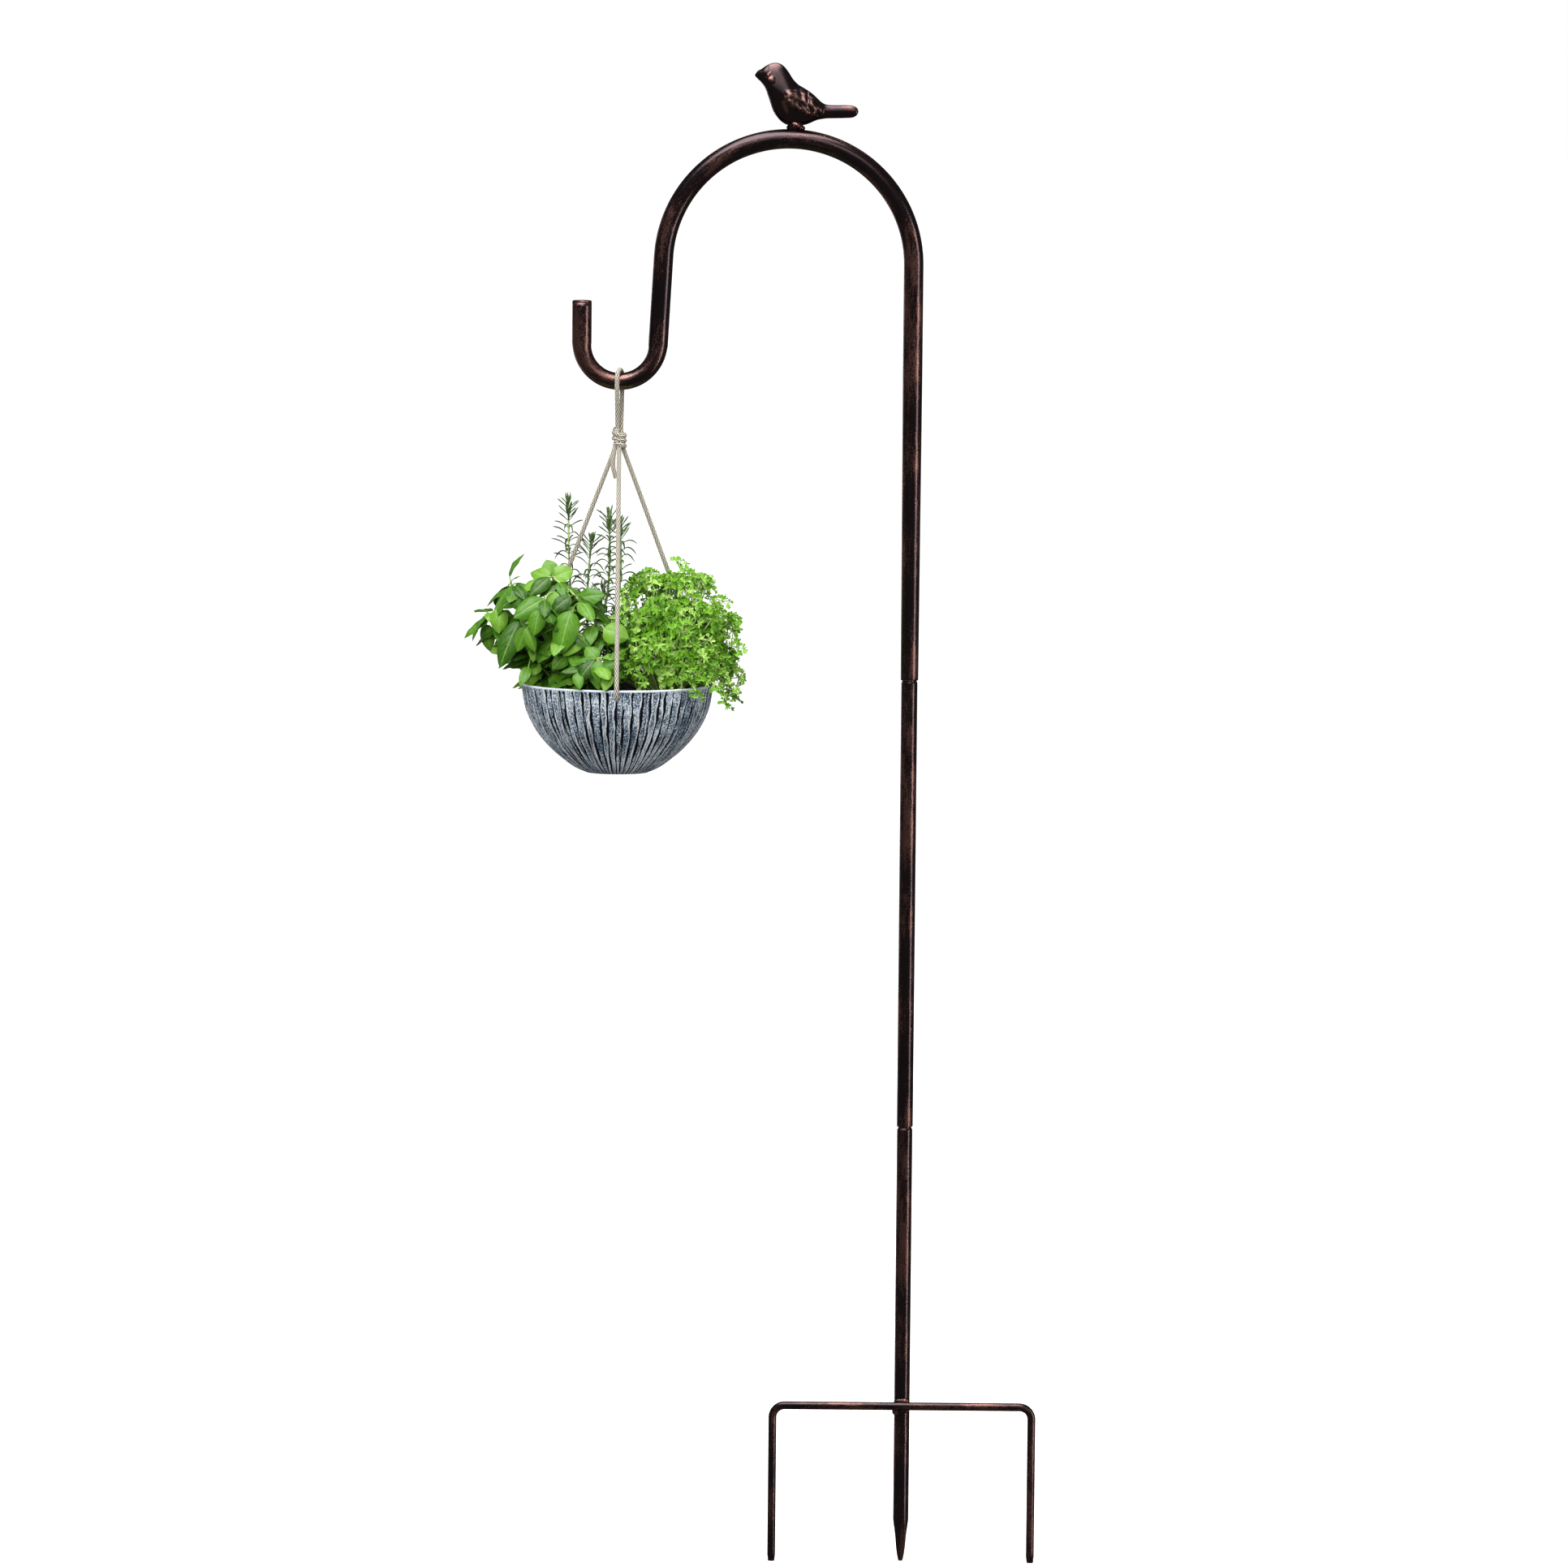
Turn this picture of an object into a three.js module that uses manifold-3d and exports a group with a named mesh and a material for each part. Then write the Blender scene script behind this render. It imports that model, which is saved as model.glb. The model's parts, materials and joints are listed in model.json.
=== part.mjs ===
// Hanging plant stand: a three-piece shepherd's crook of steel tube with a bird on its arch and a
// three-pronged step-in base, and the corded planter of herbs that hangs on its hook.
// Millimetres. +Z is up, +X points away from the hook, and -Y is the front. The origin is on the pole's
// axis at ground level, which is the underside of the foot bar.
import * as THREE from 'three';
import { mergeVertices } from 'three/addons/utils/BufferGeometryUtils.js';
import Module from 'manifold-3d';

const wasm = await Module();
wasm.setup();

// ---------- driving dimensions ----------
const FIT = 0.3; // clearance left on every side of a piece that touches another
const WALL = 1.2; // steel tube

const MIDDLE_R = 8.0;
const LOWER_R = 7.7;
const CROOK_R_LOW = 8.7; // at the crook's socket
const CROOK_R = 9.6; // from the arch to the tip
const LOWER_TUBE = 433.4; // from the spike's tip to the lower joint
const MIDDLE_TUBE = 442; // from joint to joint
const CROOK_STRAIGHT = 407; // from the upper joint to the arch
const CROOK_TAPER = 297; // the part of it that widens
const SPIGOT = 45;
const SWAGE = 3;
const EDGE = 0.9; // rounding of a tube's cut end

const ARCH_R = 122.5;
const ARCH_SLANT = 3.1; // degrees by which the falling strand leans out
const HOOK_R = 37.4;
const HOOK_DROP = 78.7; // the hook bend's middle is this far below the arch's
const HOOK_TIP = 42;
const HOOK_FLAT = 0.88; // the bend's tube is squeezed to this in its own plane
const CAP_THICK = 2.2;
const CAP_PLUG = 6; // how deep the tip's cap reaches into the bore

const BIRD_AHEAD = 5.6; // the bird's foot sits this far to the pole's side of the arch's crown
const BIRD_STAND = 4.2; // and this far off the tube, on its weld

const SPIKE_TIP_Z = -152.4;
const PRONG_TIP_Z = -152;
const PRONG_X = 128;
const ROD_R = 4;
const ROD_BEND_R = 12;
const ROD_SIDES = 14;
const ROD_Y = -(LOWER_R + FIT + ROD_R);

const RIM_R = 95;
const FOOT_R = 31;
const BOWL_H = 87.7;
const BOWL_WALL = 4.5;
const BOWL_RIBS = 56;
const RIB_DEPTH = 1.7;
const LIP = 5;
const LIP_OUT = 0.8; // the rim stands this far out from the top of the ribs
const SOIL_DROP = 22; // soil below the rim
const HANGER_HOLE_R = 3.8;
const HANGER_HOLE_DROP = 8.7;
const HANGER_SAG = 0.9; // the cord lies this low in its hole
const STOP_KNOT_R = 4.6;
const HANGER_ANGLES = [270.6, 28, 156]; // front, right, left

const CORD_R = 2.2;
const CORD_SIDES = 8;
const CORD_GAP = 0.75; // a cord rides this far off what it passes
const LOOP_DROP = 55.4; // from the middle of the hook's tube to the knot
const PLANTER_DROP = 240.8; // from the knot to the bowl's rim
const LOOP_SPREAD = 2.3; // the loop's two strands stand this far to either side
const LOOP_SQUARE = 2.8; // how squarely it bends over the tube, so that it can swing there
const KNOT_TURNS = 3.5;
const KNOT_CORD_R = 1.95; // the cord is pulled thinner in the knot
const KNOT_BEND_R = 2.05; // where it turns out of the knot's middle
const WINDING_GAP = 0.8; // between one turn of the knot and the next
const KNOT_STEPS = 24;
const HANGER_TOP_R = 4.6; // the hangers leave the knot this far from its middle

// ---------- derived places ----------
const LOWER_JOINT_Z = SPIKE_TIP_Z + LOWER_TUBE;
const UPPER_JOINT_Z = LOWER_JOINT_Z + MIDDLE_TUBE;
const TAPER_TOP_Z = UPPER_JOINT_Z + CROOK_TAPER;
const ARCH_Z = UPPER_JOINT_Z + CROOK_STRAIGHT;
const HOOK_Z = ARCH_Z - HOOK_DROP;
const KNOT_Z = HOOK_Z - HOOK_R - LOOP_DROP;
const RIM_Z = KNOT_Z - PLANTER_DROP;
const rad = THREE.MathUtils.degToRad;
const slant = rad(ARCH_SLANT);
const archX = -ARCH_R;
const strandTop = [archX - ARCH_R * Math.cos(slant), ARCH_Z + ARCH_R * Math.sin(slant)];
const strandLength = (strandTop[1] + HOOK_R * Math.sin(slant) - HOOK_Z) / Math.cos(slant);
const strandEnd = [
  strandTop[0] - strandLength * Math.sin(slant),
  strandTop[1] - strandLength * Math.cos(slant),
];
const hookX = strandEnd[0] - HOOK_R * Math.cos(slant);
const hookFloorZ = HOOK_Z - HOOK_R + CROOK_R * HOOK_FLAT;
const hangX = hookX;
const knotPitch = 2 * KNOT_CORD_R + WINDING_GAP;
const knotWindR = (1 + Math.SQRT2) * KNOT_BEND_R;
const knotHalf = (KNOT_TURNS * knotPitch) / 2;
const knotReach = Math.hypot(knotWindR, knotHalf) + KNOT_CORD_R; // the knot turns inside this ball
const hangerTopZ = KNOT_Z - knotHalf - KNOT_CORD_R - FIT;
const holeZ = RIM_Z - HANGER_HOLE_DROP;
const soilZ = RIM_Z - SOIL_DROP;
const hangerOutR = RIM_R + CORD_R + CORD_GAP;
const hangerBend = 4 * CORD_R;

// ---------- solids ----------
const V = (x, y, z) => new THREE.Vector3(x, y, z);

function solidOf(geometry) {
  const plain = new THREE.BufferGeometry();
  plain.setAttribute('position', geometry.getAttribute('position'));
  if (geometry.index) plain.setIndex(geometry.index);
  const merged = mergeVertices(plain, 1e-4);
  const mesh = new wasm.Mesh({
    numProp: 3,
    vertProperties: new Float32Array(merged.getAttribute('position').array),
    triVerts: new Uint32Array(merged.index.array),
  });
  return new wasm.Manifold(mesh);
}

function geometryOf(solid) {
  const mesh = solid.getMesh();
  const geometry = new THREE.BufferGeometry();
  geometry.setAttribute('position', new THREE.BufferAttribute(mesh.vertProperties, 3));
  geometry.setIndex(new THREE.BufferAttribute(mesh.triVerts, 1));
  geometry.computeVertexNormals();
  return geometry;
}

// Skins a row of equal rings of points and closes both ends with a flat fan.
function loft(rings) {
  const n = rings[0].length;
  const positions = [];
  for (const ring of rings) for (const p of ring) positions.push(p.x, p.y, p.z);
  const faces = [];
  for (let i = 0; i + 1 < rings.length; i++) {
    for (let j = 0; j < n; j++) {
      const a = i * n + j;
      const b = i * n + ((j + 1) % n);
      faces.push(a, b, b + n, a, b + n, a + n);
    }
  }
  const capFan = (start, flip) => {
    const centre = V(0, 0, 0);
    for (let j = 0; j < n; j++) centre.add(V(...positions.slice((start + j) * 3, (start + j) * 3 + 3)));
    centre.divideScalar(n);
    const c = positions.length / 3;
    positions.push(centre.x, centre.y, centre.z);
    for (let j = 0; j < n; j++) {
      const a = start + j;
      const b = start + ((j + 1) % n);
      faces.push(...(flip ? [c, b, a] : [c, a, b]));
    }
  };
  capFan(0, true);
  capFan((rings.length - 1) * n, false);
  return outward(positions, faces);
}

// Skins rings that come back to the first one, as the walls of an open tube do.
function loftRound(rings) {
  const n = rings[0].length;
  const positions = [];
  for (const ring of rings) for (const p of ring) positions.push(p.x, p.y, p.z);
  const faces = [];
  for (let i = 0; i < rings.length; i++) {
    const here = i * n;
    const next = ((i + 1) % rings.length) * n;
    for (let j = 0; j < n; j++) {
      const k = (j + 1) % n;
      faces.push(here + j, here + k, next + k, here + j, next + k, next + j);
    }
  }
  return outward(positions, faces);
}

function outward(positions, faces) {
  let volume = 0;
  for (let i = 0; i < faces.length; i += 3) {
    const [a, b, c] = [0, 1, 2].map((k) => V(...positions.slice(faces[i + k] * 3, faces[i + k] * 3 + 3)));
    volume += a.dot(b.cross(c));
  }
  if (volume < 0) {
    for (let i = 0; i < faces.length; i += 3) [faces[i + 1], faces[i + 2]] = [faces[i + 2], faces[i + 1]];
  }
  const geometry = new THREE.BufferGeometry();
  geometry.setAttribute('position', new THREE.Float32BufferAttribute(positions, 3));
  geometry.setIndex(faces);
  return geometry;
}

function circle(r, z, sides, x = 0, y = 0) {
  const points = [];
  for (let j = 0; j < sides; j++) {
    const a = (2 * Math.PI * j) / sides;
    points.push(V(x + r * Math.cos(a), y + r * Math.sin(a), z));
  }
  return points;
}

// Rings of a round bar along points in space, with no twist from one to the next.
function barRings(points, radius, sides) {
  const rings = [];
  const tangent = (i) => {
    const a = points[Math.max(i - 1, 0)];
    const b = points[Math.min(i + 1, points.length - 1)];
    return b.clone().sub(a).normalize();
  };
  let side = null;
  points.forEach((p, i) => {
    const t = tangent(i);
    if (!side) side = Math.abs(t.z) < 0.9 ? V(0, 0, 1) : V(0, 1, 0);
    side = side.clone().addScaledVector(t, -side.dot(t)).normalize();
    const up = t.clone().cross(side);
    const r = typeof radius === 'function' ? radius(i / (points.length - 1)) : radius;
    const ring = [];
    for (let j = 0; j < sides; j++) {
      const a = (2 * Math.PI * (j + 0.5)) / sides;
      ring.push(p.clone().addScaledVector(side, r * Math.cos(a)).addScaledVector(up, r * Math.sin(a)));
    }
    rings.push(ring);
  });
  return rings;
}

const bar = (points, radius, sides) => loft(barRings(points, radius, sides));

function ball(x, y, z, rx, ry, rz, sides = 12) {
  const geometry = new THREE.SphereGeometry(1, sides, Math.round(sides * 0.6));
  geometry.scale(rx, ry, rz);
  geometry.translate(x, y, z);
  return solidOf(geometry);
}

// A slender shoot: pointed at both ends and thickest at its knee, which bends it.
function spindle(start, knee, end, r, sides = 3) {
  const t = end.clone().sub(start).normalize();
  const side = (Math.abs(t.z) < 0.9 ? V(0, 0, 1) : V(0, 1, 0)).cross(t).normalize();
  const up = t.clone().cross(side);
  const points = [start, end];
  for (let j = 0; j < sides; j++) {
    const a = (2 * Math.PI * j) / sides;
    points.push(knee.clone().addScaledVector(side, r * Math.cos(a)).addScaledVector(up, r * Math.sin(a)));
  }
  const faces = [];
  for (let j = 0; j < sides; j++) {
    const a = 2 + j;
    const b = 2 + ((j + 1) % sides);
    faces.push(0, b, a, 1, a, b);
  }
  return solidOf(outward(points.flatMap((p) => [p.x, p.y, p.z]), faces));
}

const block = (low, high) => {
  const size = high.map((v, i) => v - low[i]);
  return wasm.Manifold.cube(size).translate(low);
};

function largestPiece(solid) {
  const pieces = solid.decompose();
  return pieces.reduce((best, piece) => (piece.volume() > best.volume() ? piece : best));
}

// ---------- materials ----------
const bronze = new THREE.MeshStandardMaterial({ color: 0x38231f, metalness: 0.8, roughness: 0.4 });
const weldMetal = new THREE.MeshStandardMaterial({ color: 0x2c1a17, metalness: 0.8, roughness: 0.5 });
const resin = new THREE.MeshStandardMaterial({ color: 0x67717a, roughness: 0.8 });
const peat = new THREE.MeshStandardMaterial({ color: 0x17110d, roughness: 1 });
const twine = new THREE.MeshStandardMaterial({ color: 0xb9ad96, roughness: 0.9 });
const basilGreen = new THREE.MeshStandardMaterial({ color: 0x4f8a24, roughness: 0.5 });
const rosemaryGreen = new THREE.MeshStandardMaterial({ color: 0x5f7d4e, roughness: 0.7 });
const parsleyGreen = new THREE.MeshStandardMaterial({ color: 0x5fae1f, roughness: 0.6 });

const group = new THREE.Group();

function add(name, shape, material) {
  const geometry = shape.isBufferGeometry ? shape : geometryOf(shape);
  const mesh = new THREE.Mesh(geometry, material);
  mesh.name = name;
  group.add(mesh);
}

// ---------- crook: socket, straight, arch, strand, hook bend, tip ----------
const HOOK_SIDES = 14;

function crookPath(archSteps, bendSteps) {
  const path = [];
  const push = (x, z, tx, tz, flat = 1) => path.push({ x, z, tx, tz, flat });
  push(0, UPPER_JOINT_Z, 0, 1);
  push(0, TAPER_TOP_Z, 0, 1);
  for (let i = 0; i <= archSteps; i++) {
    const a = ((Math.PI - slant) * i) / archSteps;
    push(archX + ARCH_R * Math.cos(a), ARCH_Z + ARCH_R * Math.sin(a), -Math.sin(a), Math.cos(a));
  }
  for (let i = 0; i <= bendSteps; i++) {
    const share = i / bendSteps;
    const a = -slant - (Math.PI - slant) * share;
    const flat = 1 - (1 - HOOK_FLAT) * Math.sin(Math.PI * Math.min(1, Math.max(0, share))) ** 0.5;
    push(hookX + HOOK_R * Math.cos(a), HOOK_Z + HOOK_R * Math.sin(a), Math.sin(a), -Math.cos(a), flat);
  }
  push(hookX - HOOK_R, HOOK_Z + HOOK_TIP, 0, 1);
  return path;
}

const crookRadius = (z, x) => {
  if (x < -1) return CROOK_R;
  const share = THREE.MathUtils.clamp((z - UPPER_JOINT_Z) / CROOK_TAPER, 0, 1);
  return CROOK_R_LOW + (CROOK_R - CROOK_R_LOW) * share;
};

function crookRing(point, inset, along = 0) {
  const base = crookRadius(point.z, point.x);
  const inPlane = base * point.flat - inset;
  const across = base * (1 + (1 - point.flat) * 0.6) - inset;
  const ring = [];
  for (let j = 0; j < HOOK_SIDES; j++) {
    const a = (2 * Math.PI * j) / HOOK_SIDES;
    const n = inPlane * Math.cos(a);
    ring.push(V(point.x + point.tz * n + point.tx * along, across * Math.sin(a),
      point.z - point.tx * n + point.tz * along));
  }
  return ring;
}

const outerPath = crookPath(22, 18);
const innerPath = crookPath(12, 9);
const pathFoot = outerPath[0];
const pathTip = outerPath[outerPath.length - 1];
const crookRings = [
  crookRing(pathFoot, EDGE),
  crookRing(pathFoot, 0, EDGE),
  ...outerPath.slice(1, -1).map((p) => crookRing(p, 0)),
  crookRing(pathTip, 0, -CAP_THICK),
  crookRing(pathTip, WALL, -CAP_THICK),
  ...innerPath.slice(1, -1).reverse().map((p) => crookRing(p, WALL)),
  crookRing(pathFoot, WALL, 2 * EDGE),
  crookRing(pathFoot, WALL - EDGE / 3),
];
add('hook_tube', loftRound(crookRings), bronze);

// The tip's cap: a plug in the bore under a rounded disc that covers the tube's end.
const capX = pathTip.x;
add('hook_tip_cap', loft([
  circle(CROOK_R - WALL - FIT, pathTip.z - CAP_THICK - CAP_PLUG, 24, capX),
  circle(CROOK_R - WALL - FIT, pathTip.z - CAP_THICK + FIT, 24, capX),
  circle(CROOK_R, pathTip.z - CAP_THICK + FIT, 24, capX),
  circle(CROOK_R, pathTip.z - EDGE, 24, capX),
  circle(CROOK_R - EDGE, pathTip.z, 24, capX),
]), bronze);

// ---------- straight tubes ----------
const TUBE_SIDES = 20;
const ring = (r, z) => circle(r, z, TUBE_SIDES);

// The swaged upper end: a shoulder that carries the tube above, and the spigot inside that tube.
function spigotOuter(r, mouthR, z) {
  const spigotR = mouthR - WALL - FIT;
  return [ring(r, z - FIT - SWAGE), ring(spigotR, z - FIT), ring(spigotR, z + SPIGOT - 2),
    ring(spigotR - EDGE, z + SPIGOT)];
}

const middleSpigotR = CROOK_R_LOW - WALL - FIT;
const lowerSpigotR = MIDDLE_R - WALL - FIT;
add('middle_tube', loftRound([
  ring(MIDDLE_R - EDGE, LOWER_JOINT_Z),
  ring(MIDDLE_R, LOWER_JOINT_Z + EDGE),
  ...spigotOuter(MIDDLE_R, CROOK_R_LOW, UPPER_JOINT_Z),
  ring(middleSpigotR - WALL, UPPER_JOINT_Z + SPIGOT),
  ring(middleSpigotR - WALL, UPPER_JOINT_Z - FIT),
  ring(MIDDLE_R - WALL, UPPER_JOINT_Z - FIT - 2 * SWAGE),
  ring(MIDDLE_R - WALL, LOWER_JOINT_Z + 2 * EDGE),
  ring(MIDDLE_R - WALL + EDGE / 3, LOWER_JOINT_Z),
]), bronze);

// The lower tube ends in a point that is crimped along four creases.
function crimped(r, z, crease) {
  return circle(1, z, TUBE_SIDES).map((p, j) => {
    const dip = 1 - crease * (0.5 + 0.5 * Math.cos((4 * 2 * Math.PI * j) / TUBE_SIDES));
    return V(p.x * r * dip, p.y * r * dip, z);
  });
}

add('lower_tube', loft([
  crimped(2.7, SPIKE_TIP_Z, 0.15),
  crimped(3.6, SPIKE_TIP_Z + 3.2, 0.3),
  crimped(5.3, SPIKE_TIP_Z + 11.5, 0.34),
  crimped(6.5, SPIKE_TIP_Z + 23.5, 0.26),
  crimped(7.4, SPIKE_TIP_Z + 34, 0.1),
  ring(LOWER_R, SPIKE_TIP_Z + 42),
  ...spigotOuter(LOWER_R, MIDDLE_R, LOWER_JOINT_Z),
  ring(lowerSpigotR - WALL, LOWER_JOINT_Z + SPIGOT),
  ring(lowerSpigotR - WALL, LOWER_JOINT_Z - FIT),
  ring(LOWER_R - WALL, LOWER_JOINT_Z - FIT - 2 * SWAGE),
  ring(LOWER_R - WALL, SPIKE_TIP_Z + 46),
  ring(2, SPIKE_TIP_Z + 36),
]), bronze);

// ---------- step-in fork: one bent rod welded across the front of the lower tube ----------
function forkPoints() {
  const points = [V(-PRONG_X, ROD_Y, PRONG_TIP_Z)];
  const corner = (x, sign) => {
    for (let i = 0; i <= 6; i++) {
      const a = (Math.PI / 2) * (i / 6);
      const c = sign < 0 ? Math.PI - a : Math.PI / 2 - a;
      points.push(V(x + ROD_BEND_R * Math.cos(c), ROD_Y, ROD_R - ROD_BEND_R + ROD_BEND_R * Math.sin(c)));
    }
  };
  corner(-PRONG_X + ROD_BEND_R, -1);
  corner(PRONG_X - ROD_BEND_R, 1);
  points.push(V(PRONG_X, ROD_Y, PRONG_TIP_Z));
  return points;
}

function forkRings() {
  const points = forkPoints();
  const rings = barRings(points, ROD_R, ROD_SIDES);
  const cut = 0.7; // the cut ends are eased
  const eased = (end, next) => {
    const inward = next.clone().sub(end).normalize();
    return inward.multiplyScalar(cut);
  };
  const first = eased(points[0], points[1]);
  const last = eased(points[points.length - 1], points[points.length - 2]);
  const shrink = (loop, centre) => loop.map((p) => centre.clone().lerp(p, (ROD_R - cut) / ROD_R));
  const firstRing = shrink(rings[0], points[0]);
  const lastRing = shrink(rings[rings.length - 1], points[points.length - 1]);
  rings[0] = rings[0].map((p) => p.clone().add(first));
  rings[rings.length - 1] = rings[rings.length - 1].map((p) => p.clone().add(last));
  return [firstRing, ...rings, lastRing];
}

add('fork_rod', loft(forkRings()), bronze);

const aroundTube = wasm.Manifold.cylinder(60, LOWER_R + FIT, LOWER_R + FIT, 32).translate([0, 0, -30]);
const aroundRod = wasm.Manifold.cylinder(60, ROD_R + FIT, ROD_R + FIT, 24)
  .rotate([0, 90, 0])
  .translate([-30, ROD_Y, ROD_R]);

function weldBead(lumps) {
  const bead = wasm.Manifold.union(lumps.map(([x, y, z, rx, ry, rz]) => ball(x, y, z, rx, ry, rz, 10)));
  return largestPiece(bead.subtract(aroundTube).subtract(aroundRod));
}

// Lumps of weld in the corners between tube and rod: middle and half size.
const weldY = -(LOWER_R + 1.5);
const weldTopZ = 2 * ROD_R + 0.6;
add('fork_weld_top', weldBead([
  [-3.2, weldY - 0.2, weldTopZ, 4.6, 3.6, 3.0],
  [2.6, weldY, weldTopZ + 0.2, 4.4, 3.7, 2.8],
]), weldMetal);
add('fork_weld_bottom', weldBead([
  [-4.6, weldY - 0.6, -1.4, 5.2, 4.0, 4.6],
  [2.4, weldY, -0.8, 4.2, 3.6, 2.8],
]), weldMetal);

// ---------- bird on the arch, cast in one with raised wings ----------
// Places along the body, from the foot: forward, top, bottom, half thickness.
const BIRD_PROFILE = [
  [-40.1, 48.8, 47.2, 0.6],
  [-37.3, 52.4, 44.4, 2.6],
  [-34.1, 54.1, 41.3, 4.6],
  [-30.1, 56.9, 35.7, 6.6],
  [-26.0, 59.1, 24.6, 8.0],
  [-22.0, 60.2, 13.4, 9.0],
  [-17.1, 60.0, 6.2, 9.8],
  [-12.3, 57.5, 1.9, 10.4],
  [-7.5, 51.9, -0.2, 10.8],
  [-2.6, 44.4, -0.5, 10.8],
  [2.2, 39.5, -0.5, 10.6],
  [7.0, 36.6, -0.3, 10.0],
  [11.8, 33.7, 0.9, 9.2],
  [16.6, 30.3, 3.0, 8.0],
  [21.5, 25.8, 5.0, 6.4],
  [25.5, 22.2, 5.8, 5.2],
  [30.3, 20.0, 6.5, 4.4],
  [39.9, 19.6, 6.8, 4.0],
  [49.5, 19.7, 7.1, 3.8],
  [55.9, 19.1, 7.7, 3.4],
  [59.5, 17.4, 9.7, 2.6],
  [61.2, 14.8, 12.4, 1.0],
];
const archTop = Math.sqrt((ARCH_R + CROOK_R) ** 2 - BIRD_AHEAD ** 2);
const BIRD_FOOT = [archX + BIRD_AHEAD, ARCH_Z + archTop + BIRD_STAND];
const BIRD_WING = { at: [7, 21], out: 6.8, size: [21, 4.4, 9.5] };
const BIRD_WING_LEAN = -24;
const FEATHER_RIDGES = [-4.6, -1.2, 2.2];
const BIRD_EYE = { at: [-25, 47], out: 6.2, size: 1.9 };
const BIRD_WELD = { drop: 1.4, size: [8.6, 6.6, 5.2] };

function birdBody() {
  const rings = BIRD_PROFILE.map(([dx, top, bottom, half]) => {
    const mid = (top + bottom) / 2;
    const tall = (top - bottom) / 2;
    const points = [];
    for (let j = 0; j < 16; j++) {
      const a = (2 * Math.PI * j) / 16;
      const lift = Math.sin(a);
      // The head and throat are slimmer than the breast below them.
      const slim = tall > 16 && lift > 0 ? 1 - 0.28 * lift : 1;
      points.push(V(BIRD_FOOT[0] + dx, half * slim * Math.cos(a), BIRD_FOOT[1] + mid + tall * lift));
    }
    return points;
  });
  return solidOf(loft(rings));
}

function birdWing(sign) {
  const [wx, wz] = BIRD_WING.at;
  const place = (solid) => solid
    .rotate([0, -BIRD_WING_LEAN, 0])
    .translate([BIRD_FOOT[0] + wx, sign * BIRD_WING.out, BIRD_FOOT[1] + wz]);
  const blade = ball(0, 0, 0, ...BIRD_WING.size, 12);
  const ridges = FEATHER_RIDGES.map((z, i) => ball(3 + i, sign * 2.6, z, 15 - 2.5 * i, 2.6, 1.5, 7));
  return place(wasm.Manifold.union([blade, ...ridges]));
}

function birdEye(sign) {
  const [ex, ez] = BIRD_EYE.at;
  const r = BIRD_EYE.size;
  return ball(BIRD_FOOT[0] + ex, sign * BIRD_EYE.out, BIRD_FOOT[1] + ez, r, r, r, 8);
}

const birdEyes = [birdEye(1), birdEye(-1)];
const bird = largestPiece(wasm.Manifold.union([birdBody(), birdWing(1), birdWing(-1), ...birdEyes]));
add('bird_finial', bird, bronze);

const archTube = solidOf(bar(
  [...Array(9).keys()].map((i) => {
    const a = rad(76 + 4 * i);
    return V(archX + ARCH_R * Math.cos(a), 0, ARCH_Z + ARCH_R * Math.sin(a));
  }), CROOK_R + FIT + 0.15, 20));
const birdShadow = bird.translate([0, 0, -FIT]);
const birdWeld = ball(BIRD_FOOT[0], 0, BIRD_FOOT[1] - BIRD_WELD.drop, ...BIRD_WELD.size, 14)
  .subtract(archTube)
  .subtract(birdShadow)
  .subtract(bird);
add('bird_weld', largestPiece(birdWeld), weldMetal);

// ---------- planter bowl ----------
// The outside from the foot to the lip: share of the height, and of the way out.
const BOWL_CURVE = [
  [0, 0],
  [0.06, 0.174],
  [0.169, 0.373],
  [0.314, 0.585],
  [0.508, 0.786],
  [0.75, 0.937],
  [1, 1],
];
const ribTopR = RIM_R - LIP_OUT;
const ribTop = BOWL_H - LIP;
const BOWL_PROFILE = [
  ...BOWL_CURVE.map(([up, out]) => [ribTop * up, FOOT_R + (ribTopR - FOOT_R) * out]),
  [BOWL_H, RIM_R],
];
const footZ = RIM_Z - BOWL_H;

function bowlRadius(h) {
  const last = BOWL_PROFILE.length - 1;
  for (let i = 0; i < last; i++) {
    const [h0, r0] = BOWL_PROFILE[i];
    const [h1, r1] = BOWL_PROFILE[i + 1];
    if (h <= h1) return r0 + ((r1 - r0) * (h - h0)) / (h1 - h0);
  }
  return BOWL_PROFILE[last][1];
}

// Each rib is a ridge between two grooves, and no two are quite alike.
function ribbed(r, z, depth) {
  const sides = BOWL_RIBS * 2;
  const points = [];
  for (let j = 0; j < sides; j++) {
    const wander = 0.22 * Math.sin(j * 2.4) * ((2 * Math.PI) / sides);
    const a = (2 * Math.PI * j) / sides + wander;
    const groove = j % 2 ? depth * (0.7 + 0.3 * Math.sin(j * 1.7 + z * 0.05)) : 0;
    points.push(V(hangX + (r - groove) * Math.cos(a), (r - groove) * Math.sin(a), z));
  }
  return points;
}

const bowlOutside = solidOf(loft([
  ...BOWL_PROFILE.slice(0, -1).map(([h, r], i, all) => {
    const shallow = i === 0 || i === all.length - 1;
    const depth = shallow ? 0.3 : RIB_DEPTH * Math.min(1, 0.4 + r / RIM_R);
    return ribbed(r, footZ + h, depth);
  }),
  ribbed(RIM_R, RIM_Z - 1.2, 0),
  ribbed(RIM_R - 1, RIM_Z, 0),
]));

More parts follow.
